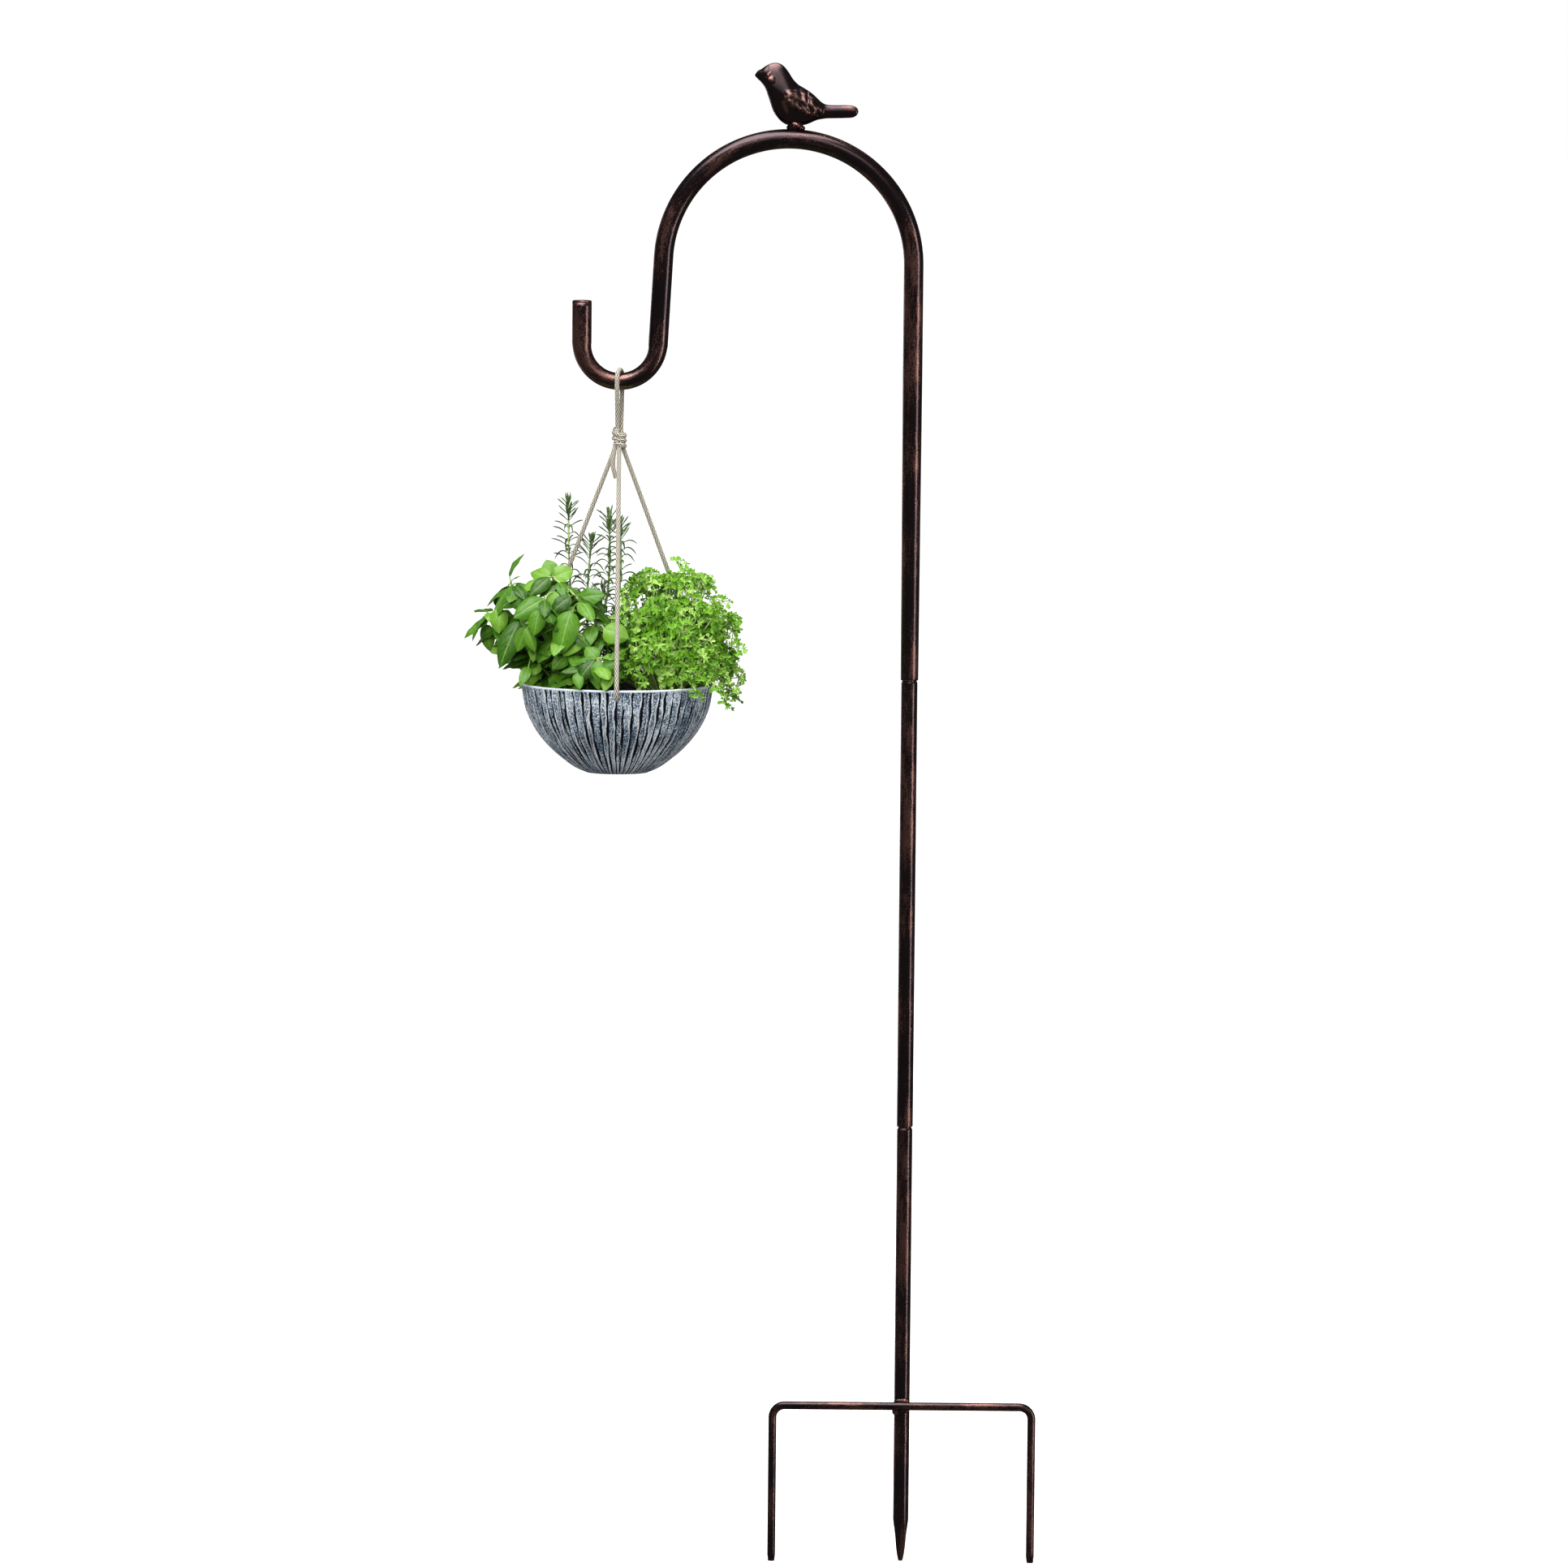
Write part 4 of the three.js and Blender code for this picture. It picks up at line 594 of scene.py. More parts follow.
def crook_path():
    """Rows of x, z, heading x, heading z and flattening along the crook's middle line."""
    arch_x = -ARCH_R
    rows = [(0, z, 0, 1, 1) for z in np.linspace(UPPER_JOINT_Z, TAPER_TOP_Z, 40)]
    rows += [(0, z, 0, 1, 1) for z in np.linspace(TAPER_TOP_Z, ARCH_Z, 16)[1:-1]]
    for a in np.linspace(0, pi - SLANT, 110):
        c, s = cos(a), sin(a)
        rows.append((arch_x + ARCH_R * c, ARCH_Z + ARCH_R * s, -s, c, 1))
    x0, z0 = rows[-1][:2]
    x1, z1 = HANG_X + HOOK_R * cos(-SLANT), HOOK_Z + HOOK_R * sin(-SLANT)
    for t in np.linspace(0, 1, 14)[1:-1]:
        rows.append((x0 + (x1 - x0) * t, z0 + (z1 - z0) * t, rows[-1][2], rows[-1][3], 1))
    for t in np.linspace(0, 1, 72):
        a = -SLANT - (pi - SLANT) * t
        flat = 1 - (1 - HOOK_FLAT) * max(0.0, sin(pi * t)) ** 0.5
        c, s = cos(a), sin(a)
        rows.append((HANG_X + HOOK_R * c, HOOK_Z + HOOK_R * s, s, -c, flat))
    for z in np.linspace(HOOK_Z, HOOK_Z + HOOK_TIP - CAP_THICK, 10)[1:]:
        rows.append((HANG_X - HOOK_R, z, 0, 1, 1))
    return rows


def skin(rings, distances, radius):
    """Rings of points as one tube, with the grain that its streaks follow."""
    grain = grain_of(np.repeat(distances, TUBE_SIDES), np.tile(turn_of(TUBE_SIDES), len(rings)), radius)
    return np.vstack(rings), grid_faces(len(rings), TUBE_SIDES), {"grain": grain}


def crook():
    rows = crook_path()
    s = lengths([(x, 0, z) for x, z, *_ in rows])
    angles = turn_of(TUBE_SIDES)
    rings, distances = [], []

    def ring(k, inset, ahead=0.0):
        x, z, tx, tz, flat = rows[k]
        share = min(max((z - UPPER_JOINT_Z) / (TAPER_TOP_Z - UPPER_JOINT_Z), 0), 1) if x > -1 else 1
        base = CROOK_R_LOW + (CROOK_R - CROOK_R_LOW) * share
        n = (base * flat - inset) * np.cos(angles)
        across = (base * (1 + (1 - flat) * HOOK_BULGE) - inset) * np.sin(angles)
        rings.append(np.stack([x + tz * n + tx * ahead, across, z - tx * n + tz * ahead], 1))
        distances.append(s[k])

    # Down the socket's bore, round its mouth, and up along the outside into the tip's bore.
    ring(0, WALL, 14)
    ring(0, WALL, 1.2)
    for a in np.linspace(0, pi / 2, 6):
        lip = WALL / 2 * (1 - cos(a))
        ring(0, lip, lip)
    ring(0, EDGE * 0.35, EDGE * 0.12)
    ring(0, 0, EDGE)
    for k in range(1, len(rows)):
        ring(k, 0)
    ring(-1, WALL)
    ring(-1, WALL, -6)
    return skin(rings, distances, CROOK_R)


place("crook_tube", crook(), BRONZE, "crook", "bronze_tube", ["hook_tube"])


def lathe(profile, centre_x=0.0, crease=None):
    """A turned shape from rows of radius and height."""
    angles = turn_of(TUBE_SIDES)
    rings = []
    for r, z in profile:
        out = r * (1 - crease(z) * (0.5 + 0.5 * np.cos(4 * angles))) if crease else r
        x, y = centre_x + out * np.cos(angles), out * np.sin(angles)
        rings.append(np.stack([x, y, np.full(TUBE_SIDES, z)], 1))
    return skin(rings, lengths([(r, 0, z) for r, z in profile]), max(r for r, _ in profile))


def rounded(r, z, size):
    """The rounded corner at the foot of a tube, from inside to outside."""
    corners = [pi / 2 * i / 5 for i in range(6)]
    return [(r - size + size * sin(a), z + (size - size * cos(a))) for a in corners]


def shoulder(r, mouth, z):
    """The swaged end of a tube, which goes into a socket that is mouth in radius."""
    spigot = mouth - WALL - FIT
    rows = []
    for i in range(9):
        t = i / 8
        rows.append((r + (spigot - r) * (3 * t * t - 2 * t**3), z - FIT - SWAGE * (1 - t)))
    top = z + SPIGOT
    return rows + [(spigot, top - 15), (spigot, top - 2), (spigot - EDGE, top), (spigot - WALL, top)]


middle = [(MIDDLE_R - WALL, LOWER_JOINT_Z + 14), (MIDDLE_R - WALL, LOWER_JOINT_Z + 0.6)]
middle += rounded(MIDDLE_R, LOWER_JOINT_Z, EDGE)
middle += [(MIDDLE_R, z) for z in np.linspace(LOWER_JOINT_Z + 8, UPPER_JOINT_Z - 8, 50)]
middle += shoulder(MIDDLE_R, CROOK_R_LOW, UPPER_JOINT_Z)
place("middle_tube_finished", lathe(middle), BRONZE, "middle_pole", "bronze_tube", ["middle_tube"])

SPIKE = [(0.4, 0.0), (2.2, 0.15), (2.75, 0.9), (3.1, 2.0), (3.7, 3.8), (4.5, 7.2), (5.3, 11.5), (5.95, 17.0),
         (6.5, 23.5), (7.0, 29.0), (7.4, 34.0), (7.6, 38.0), (7.7, 42.0)]


def crimp(z):
    up = z - SPIKE_TIP_Z
    return float(np.interp(up, [0, 3.2, 11.5, 23.5, 34, 42], [0.15, 0.30, 0.34, 0.26, 0.10, 0.0]))


lower = [(r, SPIKE_TIP_Z + up) for r, up in SPIKE]
lower += [(LOWER_R, z) for z in np.linspace(SPIKE_TIP_Z + 50, LOWER_JOINT_Z - 8, 50)]
lower += shoulder(LOWER_R, MIDDLE_R, LOWER_JOINT_Z)
verts, faces, values = lathe(lower, crease=crimp)
faces.append(end_faces(1, TUBE_SIDES)[0])
place("lower_tube_finished", (verts, faces, values), BRONZE, "ground_stake", "bronze_tube", ["lower_tube"])

# The tip's closed end.
cap = [(0.05, 0.0), (5.5, -0.05), (CROOK_R - 1.6, -0.15)]
cap += [(CROOK_R - 1.1 + 1.1 * sin(a), -1.35 + cos(a)) for a in np.linspace(0.2, pi / 2, 6)]
cap += [(CROOK_R, -1.9), (CROOK_R - 0.35, -2.15), (CROOK_R - 0.4, -2.6)]
cap_top = HOOK_Z + HOOK_TIP
CAP = bronze_material("bronze_cap", True, 1.0, 0.06)
place("tip_cap", lathe([(r, cap_top + z) for r, z in cap][::-1], HANG_X - HOOK_R), CAP, "crook",
      "bronze_tube", ["hook_tip_cap"])

# ---------- step-in fork ----------
ROD_Y = -(LOWER_R + FIT + ROD_R)


def fork_line():
    """From the left prong's tip to the middle of the bar, and the same mirrored."""
    bend_z = ROD_R - ROD_BEND_R
    half = [(-PRONG_X, z) for z in np.linspace(PRONG_TIP_Z + 0.7, bend_z, 24)]
    for i in range(1, 17):
        a = pi - pi / 2 * i / 16
        half.append((-PRONG_X + ROD_BEND_R + ROD_BEND_R * cos(a), bend_z + ROD_BEND_R * sin(a)))
    half += [(x, ROD_R) for x in np.linspace(-PRONG_X + ROD_BEND_R, PRONG_X - ROD_BEND_R, 50)[1:25]]
    return [(x, ROD_Y, z) for x, z in half] + [(-x, ROD_Y, z) for x, z in half[::-1]]


FORK_LINE = fork_line()
FORK_LENGTH = lengths(FORK_LINE)[-1]


def rod_radius(share):
    """The rod's radius, which falls off over the last millimetre at each tip."""
    end = min(share, 1 - share) * FORK_LENGTH
    return ROD_R - 0.7 * max(0.0, 1 - end) ** 2


verts, faces, along, angle = tube(FORK_LINE, rod_radius, 32)
place("fork_rod_finished", (verts, faces, {"grain": grain_of(along, angle, ROD_R)}), BRONZE_ROD,
      "ground_stake", "bronze_rod", ["fork_rod"])


# ---------- welds ----------
def sphere(centre, size):
    rows, columns = 20, 28
    verts = [(centre[0], centre[1], centre[2] - size[2])]
    for i in range(1, rows):
        lat = -pi / 2 + pi * i / rows
        for j in range(columns):
            lon = 2 * pi * j / columns
            verts.append((centre[0] + size[0] * cos(lat) * cos(lon),
                          centre[1] + size[1] * cos(lat) * sin(lon),
                          centre[2] + size[2] * sin(lat)))
    verts.append((centre[0], centre[1], centre[2] + size[2]))
    faces = [(0, 1 + (j + 1) % columns, 1 + j) for j in range(columns)]
    faces += grid_faces(rows - 1, columns, 1)
    last = len(verts) - 1
    top = 1 + (rows - 2) * columns
    faces += [(last, top + j, top + (j + 1) % columns) for j in range(columns)]
    return np.array(verts), faces


def settle(obj):
    """Works the piece's modifiers into its mesh."""
    bpy.context.view_layer.update()
    evaluated = obj.evaluated_get(bpy.context.evaluated_depsgraph_get())
    mesh = bpy.data.meshes.new_from_object(evaluated)
    old = obj.data
    obj.modifiers.clear()
    obj.data = mesh
    bpy.data.meshes.remove(old)
    mesh.polygons.foreach_set("use_smooth", [True] * len(mesh.polygons))


LUMP_VOXEL, LUMP_SMOOTHING = 0.45, 6


def lumps(name, balls, body, nodes):
    """A bead of weld: balls, each a middle and half sizes, fused and softened."""
    shape = joined([(*sphere(b[:3], b[3:]), {}) for b in balls])
    obj = place(name, shape, BRONZE_WELD, body, "bronze_weld", nodes)
    remesh = obj.modifiers.new("fuse", "REMESH")
    remesh.mode = "VOXEL"
    remesh.voxel_size = LUMP_VOXEL * MM
    soften = obj.modifiers.new("soften", "SMOOTH")
    soften.iterations = LUMP_SMOOTHING
    settle(obj)
    if not obj.data.materials:
        obj.data.materials.append(BRONZE_WELD)


WELD_Y = -(LOWER_R + 1.5)
lumps("weld_above_the_rod", [
    (-3.2, WELD_Y - 0.2, 8.6, 4.6, 3.6, 3.0), (2.6, WELD_Y, 8.8, 4.4, 3.7, 2.8),
    (-0.4, WELD_Y - 0.9, 9.0, 3.0, 3.1, 2.7), (5.0, WELD_Y + 0.8, 8.3, 2.3, 2.2, 1.8),
    (-6.4, WELD_Y + 0.6, 8.1, 1.8, 1.9, 1.5),
], "ground_stake", ["fork_weld_top"])
lumps("weld_below_the_rod", [
    (-4.6, WELD_Y - 0.6, -1.4, 5.2, 4.0, 4.6), (2.4, WELD_Y, -0.8, 4.2, 3.6, 2.8),
    (-1.2, WELD_Y - 0.8, -0.8, 3.4, 3.2, 3.0), (-7.6, WELD_Y - 0.3, -2.2, 2.2, 2.2, 2.6),
], "ground_stake", ["fork_weld_bottom"])

# ---------- bird ----------
# How far along, height of back and belly, and half width.
BIRD_PROFILE = [
    (-40.1, 48.8, 47.2, 0.6), (-37.3, 52.4, 44.4, 2.6), (-34.1, 54.1, 41.3, 4.6), (-30.1, 56.9, 35.7, 6.6),
    (-26.0, 59.1, 24.6, 8.0), (-22.0, 60.2, 13.4, 9.0), (-17.1, 60.0, 6.2, 9.8), (-12.3, 57.5, 1.9, 10.4),
    (-7.5, 51.9, -0.2, 10.8), (-2.6, 44.4, -0.5, 10.8), (2.2, 39.5, -0.5, 10.6), (7.0, 36.6, -0.3, 10.0),
    (11.8, 33.7, 0.9, 9.2), (16.6, 30.3, 3.0, 8.0), (21.5, 25.8, 5.0, 6.4), (25.5, 22.2, 5.8, 5.2),
    (30.3, 20.0, 6.5, 4.4), (39.9, 19.6, 6.8, 4.0), (49.5, 19.7, 7.1, 3.8), (55.9, 19.1, 7.7, 3.4),
    (59.5, 17.4, 9.7, 2.6), (61.2, 14.8, 12.4, 1.0),
]
BIRD_X = -ARCH_R + BIRD_AHEAD
BIRD_Z = ARCH_Z + sqrt((ARCH_R + CROOK_R) ** 2 - BIRD_AHEAD**2) + BIRD_STAND
BIRD_COLUMNS = 112


def bump_at(x, z, cx, cz, rx, rz, lean=0.0):
    """1 in the middle of an ellipse in the side view and 0 outside it."""
    c, s = cos(radians(lean)), sin(radians(lean))
    u = ((x - cx) * c + (z - cz) * s) / rx
    v = (-(x - cx) * s + (z - cz) * c) / rz
    d = np.clip(1 - u * u - v * v, 0, 1)
    return d * d * (3 - 2 * d), u, v


def feather_relief(x, z):
    """At a place in the side view: how far the casting stands out in mm, and its share of copper, 0 to 1: rub
    on the wing, painted highlight on the cheek, brow, eye, upper tail and crown.
    """
    wing, u, v = bump_at(x, z, 7.5, 21.5, 23, 10.8, -27)
    edge = np.clip(wing * 6, 0, 1)
    rows = np.sin((v * 2.6 + 0.25 * u) * pi) * 0.5 + 0.5
    barbs = np.sin((u * 5.2 + v * 1.6) * pi)
    out = 2.3 * np.clip(wing * 2.2, 0, 1)
    out += edge * (1.15 * (rows - 0.5) + 0.60 * barbs * np.clip(u + 0.75, 0, 1))
    high = edge * (0.62 * rows + 0.40 * np.clip(barbs, 0, 1) * np.clip(u + 0.75, 0, 1))
    covert, u, v = bump_at(x, z, -6.5, 24.5, 8.5, 8.2, -35)
    curls = np.sin((u * 3 - v * 2.4) * pi)
    out += 1.15 * covert + 0.45 * covert * curls
    rim, _, _ = bump_at(x, z, -10.5, 17.0, 3.0, 9.0, 22)
    out += 0.9 * rim
    cheek, _, _ = bump_at(x, z, -24.2, 44.3, 4.8, 3.6, -20)
    brow, _, _ = bump_at(x, z, -26.8, 49.2, 3.8, 1.7, 30)
    eye, _, _ = bump_at(x, z, -27.0, 47.6, 1.9, 1.7)
    socket, _, _ = bump_at(x, z, -27.0, 47.6, 3.4, 3.0)
    out += 1.4 * cheek + 0.7 * brow - 0.7 * socket + 1.5 * eye
    # Rub on the coverts and the wing's rim; the cheek, brow and eye get copper as painted highlight.
    high = high + covert * (0.5 + 0.5 * curls) * 0.8 + 0.8 * rim + cheek + brow + eye
    gape = np.exp(-((z - (45.9 + 0.10 * (x + 40))) ** 2) / 0.35) * np.clip((-32.0 - x) / 3, 0, 1)
    # The upper tail and the crown get copper by place and height alone: painted highlight.
    tail = np.clip((x - 40) / 12, 0, 1) * np.clip((z - 12) / 6, 0, 1)
    crown = np.clip((z - 52) / 8, 0, 1) * 0.55
    return out - 0.45 * gape, np.clip(high + 0.6 * tail + crown, 0, 1)


def bird_body():
    rows = np.array(BIRD_PROFILE, float)
    smooth = resample(rows[:, :3], 0.55)
    half = resample(np.stack([rows[:, 0], rows[:, 3], 0 * rows[:, 0]], 1), 0.5)
    angles = turn_of(BIRD_COLUMNS)
    verts, rub_and_highlight = [], []
    for x, top, bottom in smooth:
        w = float(np.interp(x, half[:, 0], half[:, 1]))
        middle, tall = (top + bottom) / 2, max((top - bottom) / 2, 0.2)
        lift = np.sin(angles)
        slim = np.where((tall > 16) & (lift > 0), 1 - 0.28 * lift, 1)
        z = middle + tall * lift
        side = np.clip(np.abs(np.cos(angles)) * 1.6, 0, 1)
        out, high = feather_relief(np.full(BIRD_COLUMNS, x), z)
        y = w * slim * np.cos(angles) + np.sign(np.cos(angles)) * out * side
        verts.append(np.stack([np.full(BIRD_COLUMNS, BIRD_X + x), y, BIRD_Z + z], 1))
        rub_and_highlight.append(high)
    faces = grid_faces(len(verts), BIRD_COLUMNS) + end_faces(len(verts), BIRD_COLUMNS)
    return np.vstack(verts), faces, {"rub_and_highlight": np.concatenate(rub_and_highlight)}


bird = place("bird", bird_body(), BRONZE_CAST, "crook", "bronze_casting", ["bird_finial"])
soften = bird.modifiers.new("soften", "SMOOTH")
soften.iterations = 1
settle(bird)
lumps("bird_foot_weld", [
    (BIRD_X, 0, BIRD_Z - 0.6, 7.4, 6.8, 6.2), (BIRD_X + 1.5, -2.2, BIRD_Z - 0.4, 4.2, 5.2, 3.9),
    (BIRD_X - 4.0, 0.5, BIRD_Z - 2.6, 5.0, 6.0, 3.2), (BIRD_X + 5.0, 0.8, BIRD_Z - 3.2, 4.6, 5.4, 2.8),
], "crook", ["bird_weld"])

# ---------- bowl ----------
def bowl_radius(h):
    up = np.array([p[0] for p in BOWL_CURVE]) * RIB_TOP
    out = FOOT_R + (RIM_R - LIP_OUT - FOOT_R) * np.array([p[1] for p in BOWL_CURVE])
    curve = resample(np.stack([out, 0 * out, up], 1), 0.8)
    r = np.interp(h, curve[:, 2], curve[:, 0])
    return np.where(h > RIB_TOP, RIM_R - LIP_OUT + LIP_OUT * np.clip((h - RIB_TOP) / 1.2, 0, 1), r)


BARK_GROOVES, BARK_CRACKS = 68, 44
BARK_TOP = BOWL_H - 2.4
BARK_COLUMNS = BARK_GROOVES * 24


def bark_lines():
    """Each groove's place, width, depth, ends, sway and the side that its ridge is on."""
    rng = random.Random(3)
    rows = []
    for k in range(BARK_GROOVES + BARK_CRACKS):
        main = k < BARK_GROOVES
        count = BARK_GROOVES if main else BARK_CRACKS
        whole = main and rng.random() < 0.8
        rows.append({
            "at": 2 * pi * (k + rng.uniform(-0.2, 0.2) + (0 if main else 0.5)) / count,
            "wide": rng.uniform(0.0082, 0.0132) if main else rng.uniform(0.0040, 0.0070),
            "deep": rng.uniform(0.85, 1.0) if main else rng.uniform(0.4, 0.75),
            "start": -0.2 if whole else rng.uniform(-0.1, 0.45),
            "stop": 1.2 if whole else rng.uniform(0.6, 1.15),
            "phase": rng.uniform(0, 6.28), "swing": rng.uniform(0.002, 0.008), "turns": rng.uniform(2, 6),
            "side": rng.choice((-1, 1)), "ridge": rng.uniform(0.45, 1.0), "beat": rng.uniform(12, 30),
        })
    return rows


BARK_LINES = bark_lines()


def bark(angles, h, r):
    """Depth of the grooves and height of the ridges beside them, 0 to 1, round the bowl at one height."""
    deep, ridge = np.zeros_like(angles), np.zeros_like(angles)
    up = h / RIB_TOP
    for line in BARK_LINES:
        fade = min(1, max(0, (up - line["start"]) / 0.1)) * min(1, max(0, (line["stop"] - up) / 0.07))
        if fade <= 0:
            continue
        wander = line["swing"] * sin(up * line["turns"] + line["phase"])
        wander += 0.0035 * sin(up * 23 + 2 * line["phase"]) + 0.0015 * sin(up * 71 + line["phase"])
        wide = line["wide"] * (RIM_R / r) ** 0.5 * (1 + 0.35 * sin(up * 15 + line["phase"]))
        d = (angles - line["at"] - wander + pi) % (2 * pi) - pi
        deep = np.maximum(deep, line["deep"] * fade * np.exp(-((d / wide) ** 4)))
        beat = 0.74 + 0.26 * sin(up * line["beat"] + line["phase"])
        crest = np.exp(-(((d - line["side"] * 1.85 * wide) / (0.80 * wide)) ** 2))
        ridge = np.maximum(ridge, line["ridge"] * fade * beat * crest)
    return deep, ridge * (1 - deep)


def bowl():
    angles = turn_of(BARK_COLUMNS)
    c, s = np.cos(angles), np.sin(angles)
    rows, every = 70, 3
    chips = np.random.default_rng(5).normal(size=(rows, BARK_COLUMNS // every))
    verts, marks = [], []

    def ring(r, z, deep=0.0, ridge=0.0, on_lip=0.0, within=0.0):
        r = np.broadcast_to(r, angles.shape)
        verts.append(np.stack([HANG_X + r * c, r * s, np.full(BARK_COLUMNS, z)], 1))
        marks.append(np.stack([np.broadcast_to(v, angles.shape) for v in (deep, ridge, on_lip, within)], 1))

    ring(0.4, FOOT_Z + 2.2)
    ring(FOOT_R - 5, FOOT_Z + 2.2)
    ring(FOOT_R - 4, FOOT_Z + 0.1)
    for h in np.concatenate([[0, 0.6], np.linspace(1.6, BARK_TOP, 96)]):
        base = float(bowl_radius(np.array(h)))
        deep, ridge = bark(angles, h, base)
        place_in = h / BOWL_H * (rows - 1.001)
        low = int(place_in)
        chip = chips[low] * (1 - (place_in - low)) + chips[low + 1] * (place_in - low)
        chip = np.interp(np.arange(BARK_COLUMNS) / every, np.arange(BARK_COLUMNS // every), chip)
        ease = min(1, h / 4) * min(1, max(0, (BARK_TOP + 0.2 - h) / 1.2))
        depth = RIB_DEPTH * (0.5 + 0.5 * min(1, h / 30)) * ease
        r = base - 0.35 - depth * deep + ease * (0.35 * ridge + 0.15 * chip * (1 - deep))
        ring(r, FOOT_Z + h, np.clip(deep * (0.3 + 0.7 * ease), 0, 1), ridge)
    ring(RIM_R - 0.1, FOOT_Z + BARK_TOP + 0.5, on_lip=0.8)
    for t in np.linspace(0, pi, 12):
        ring(RIM_R - 1.5 + 1.5 * cos(t), RIM_Z - 1.5 + 1.5 * sin(t), on_lip=1.0)
    # Down the inner wall, which the material paints near black as painted shade.
    ring(RIM_R - 3.1, RIM_Z - 2.6, on_lip=0.7, within=0.4)
    for h in np.linspace(RIB_TOP, 7, 24):
        ring(min(float(bowl_radius(np.array(h))) - BOWL_WALL, RIM_R - 3.4), FOOT_Z + h, within=1)
    ring(FOOT_R + 4, FOOT_Z + BOWL_WALL, within=1)
    ring(0.4, FOOT_Z + BOWL_WALL, within=1)
    marks = np.vstack(marks)
    names = ("groove", "ridge", "lip", "inside")
    values = {name: marks[:, i] for i, name in enumerate(names)}
    return np.vstack(verts), grid_faces(len(verts), BARK_COLUMNS), values


place("bark_bowl", bowl(), BOWL, "planter", "bowl_resin", ["planter_bowl"])


# ---------- soil ----------
def soil():
    rng = np.random.default_rng(11)
    columns, rings = 140, 46
    angles = turn_of(columns)
    edge = float(bowl_radius(np.array(SOIL_Z - FOOT_Z - 2.5))) - BOWL_WALL - 0.5
    verts = [(HANG_X, 0, SOIL_Z - 0.4)]
    for i in range(1, rings + 1):
        r = edge * i / rings
        sunk = 2.2 * max(0.0, (r / edge - 0.86) / 0.14) ** 1.5
        z = SOIL_Z - 0.9 - sunk + rng.uniform(-0.9, 0.9, columns)
        verts += list(zip(HANG_X + r * np.cos(angles), r * np.sin(angles), z))
    faces = [(0, 1 + j, 1 + (j + 1) % columns) for j in range(columns)]
    faces += [tuple(f) for f in grid_faces(rings, columns, 1)]
    return np.array(verts), faces, {}


place("soil_surface", soil(), SOIL, "planter", "potting_mix", ["potting_soil"])

# ---------- plants: places measured from the middle of the rim ----------
# Each stem's places, from low to high.
BASIL_STEMS = {
    "A": [[-56, -14, 7], [-76, -20, 38], [-90, -14, 72], [-105, -6, 97]],
    "B": [[-26, -18, 8], [-15, -26, 45], [-39, -24, 84], [-63, -8, 103]],
    "C": [[-40, -30, 9], [-48, -46, 43], [-68, -44, 70], [-71, -38, 85]],
    "D": [[-30, -40, 10], [-23, -66, 20], [-19, -74, 29]],
    "E": [[-66, -2, 6], [-87, -8, 30], [-106, 0, 50], [-128, 2, 67]],
    "F": [[-53, 4, 6], [-62, 10, 46], [-73, 14, 79]],
    "G": [[-68, 12, 5], [-84, 24, 34], [-98, 22, 64]],
}

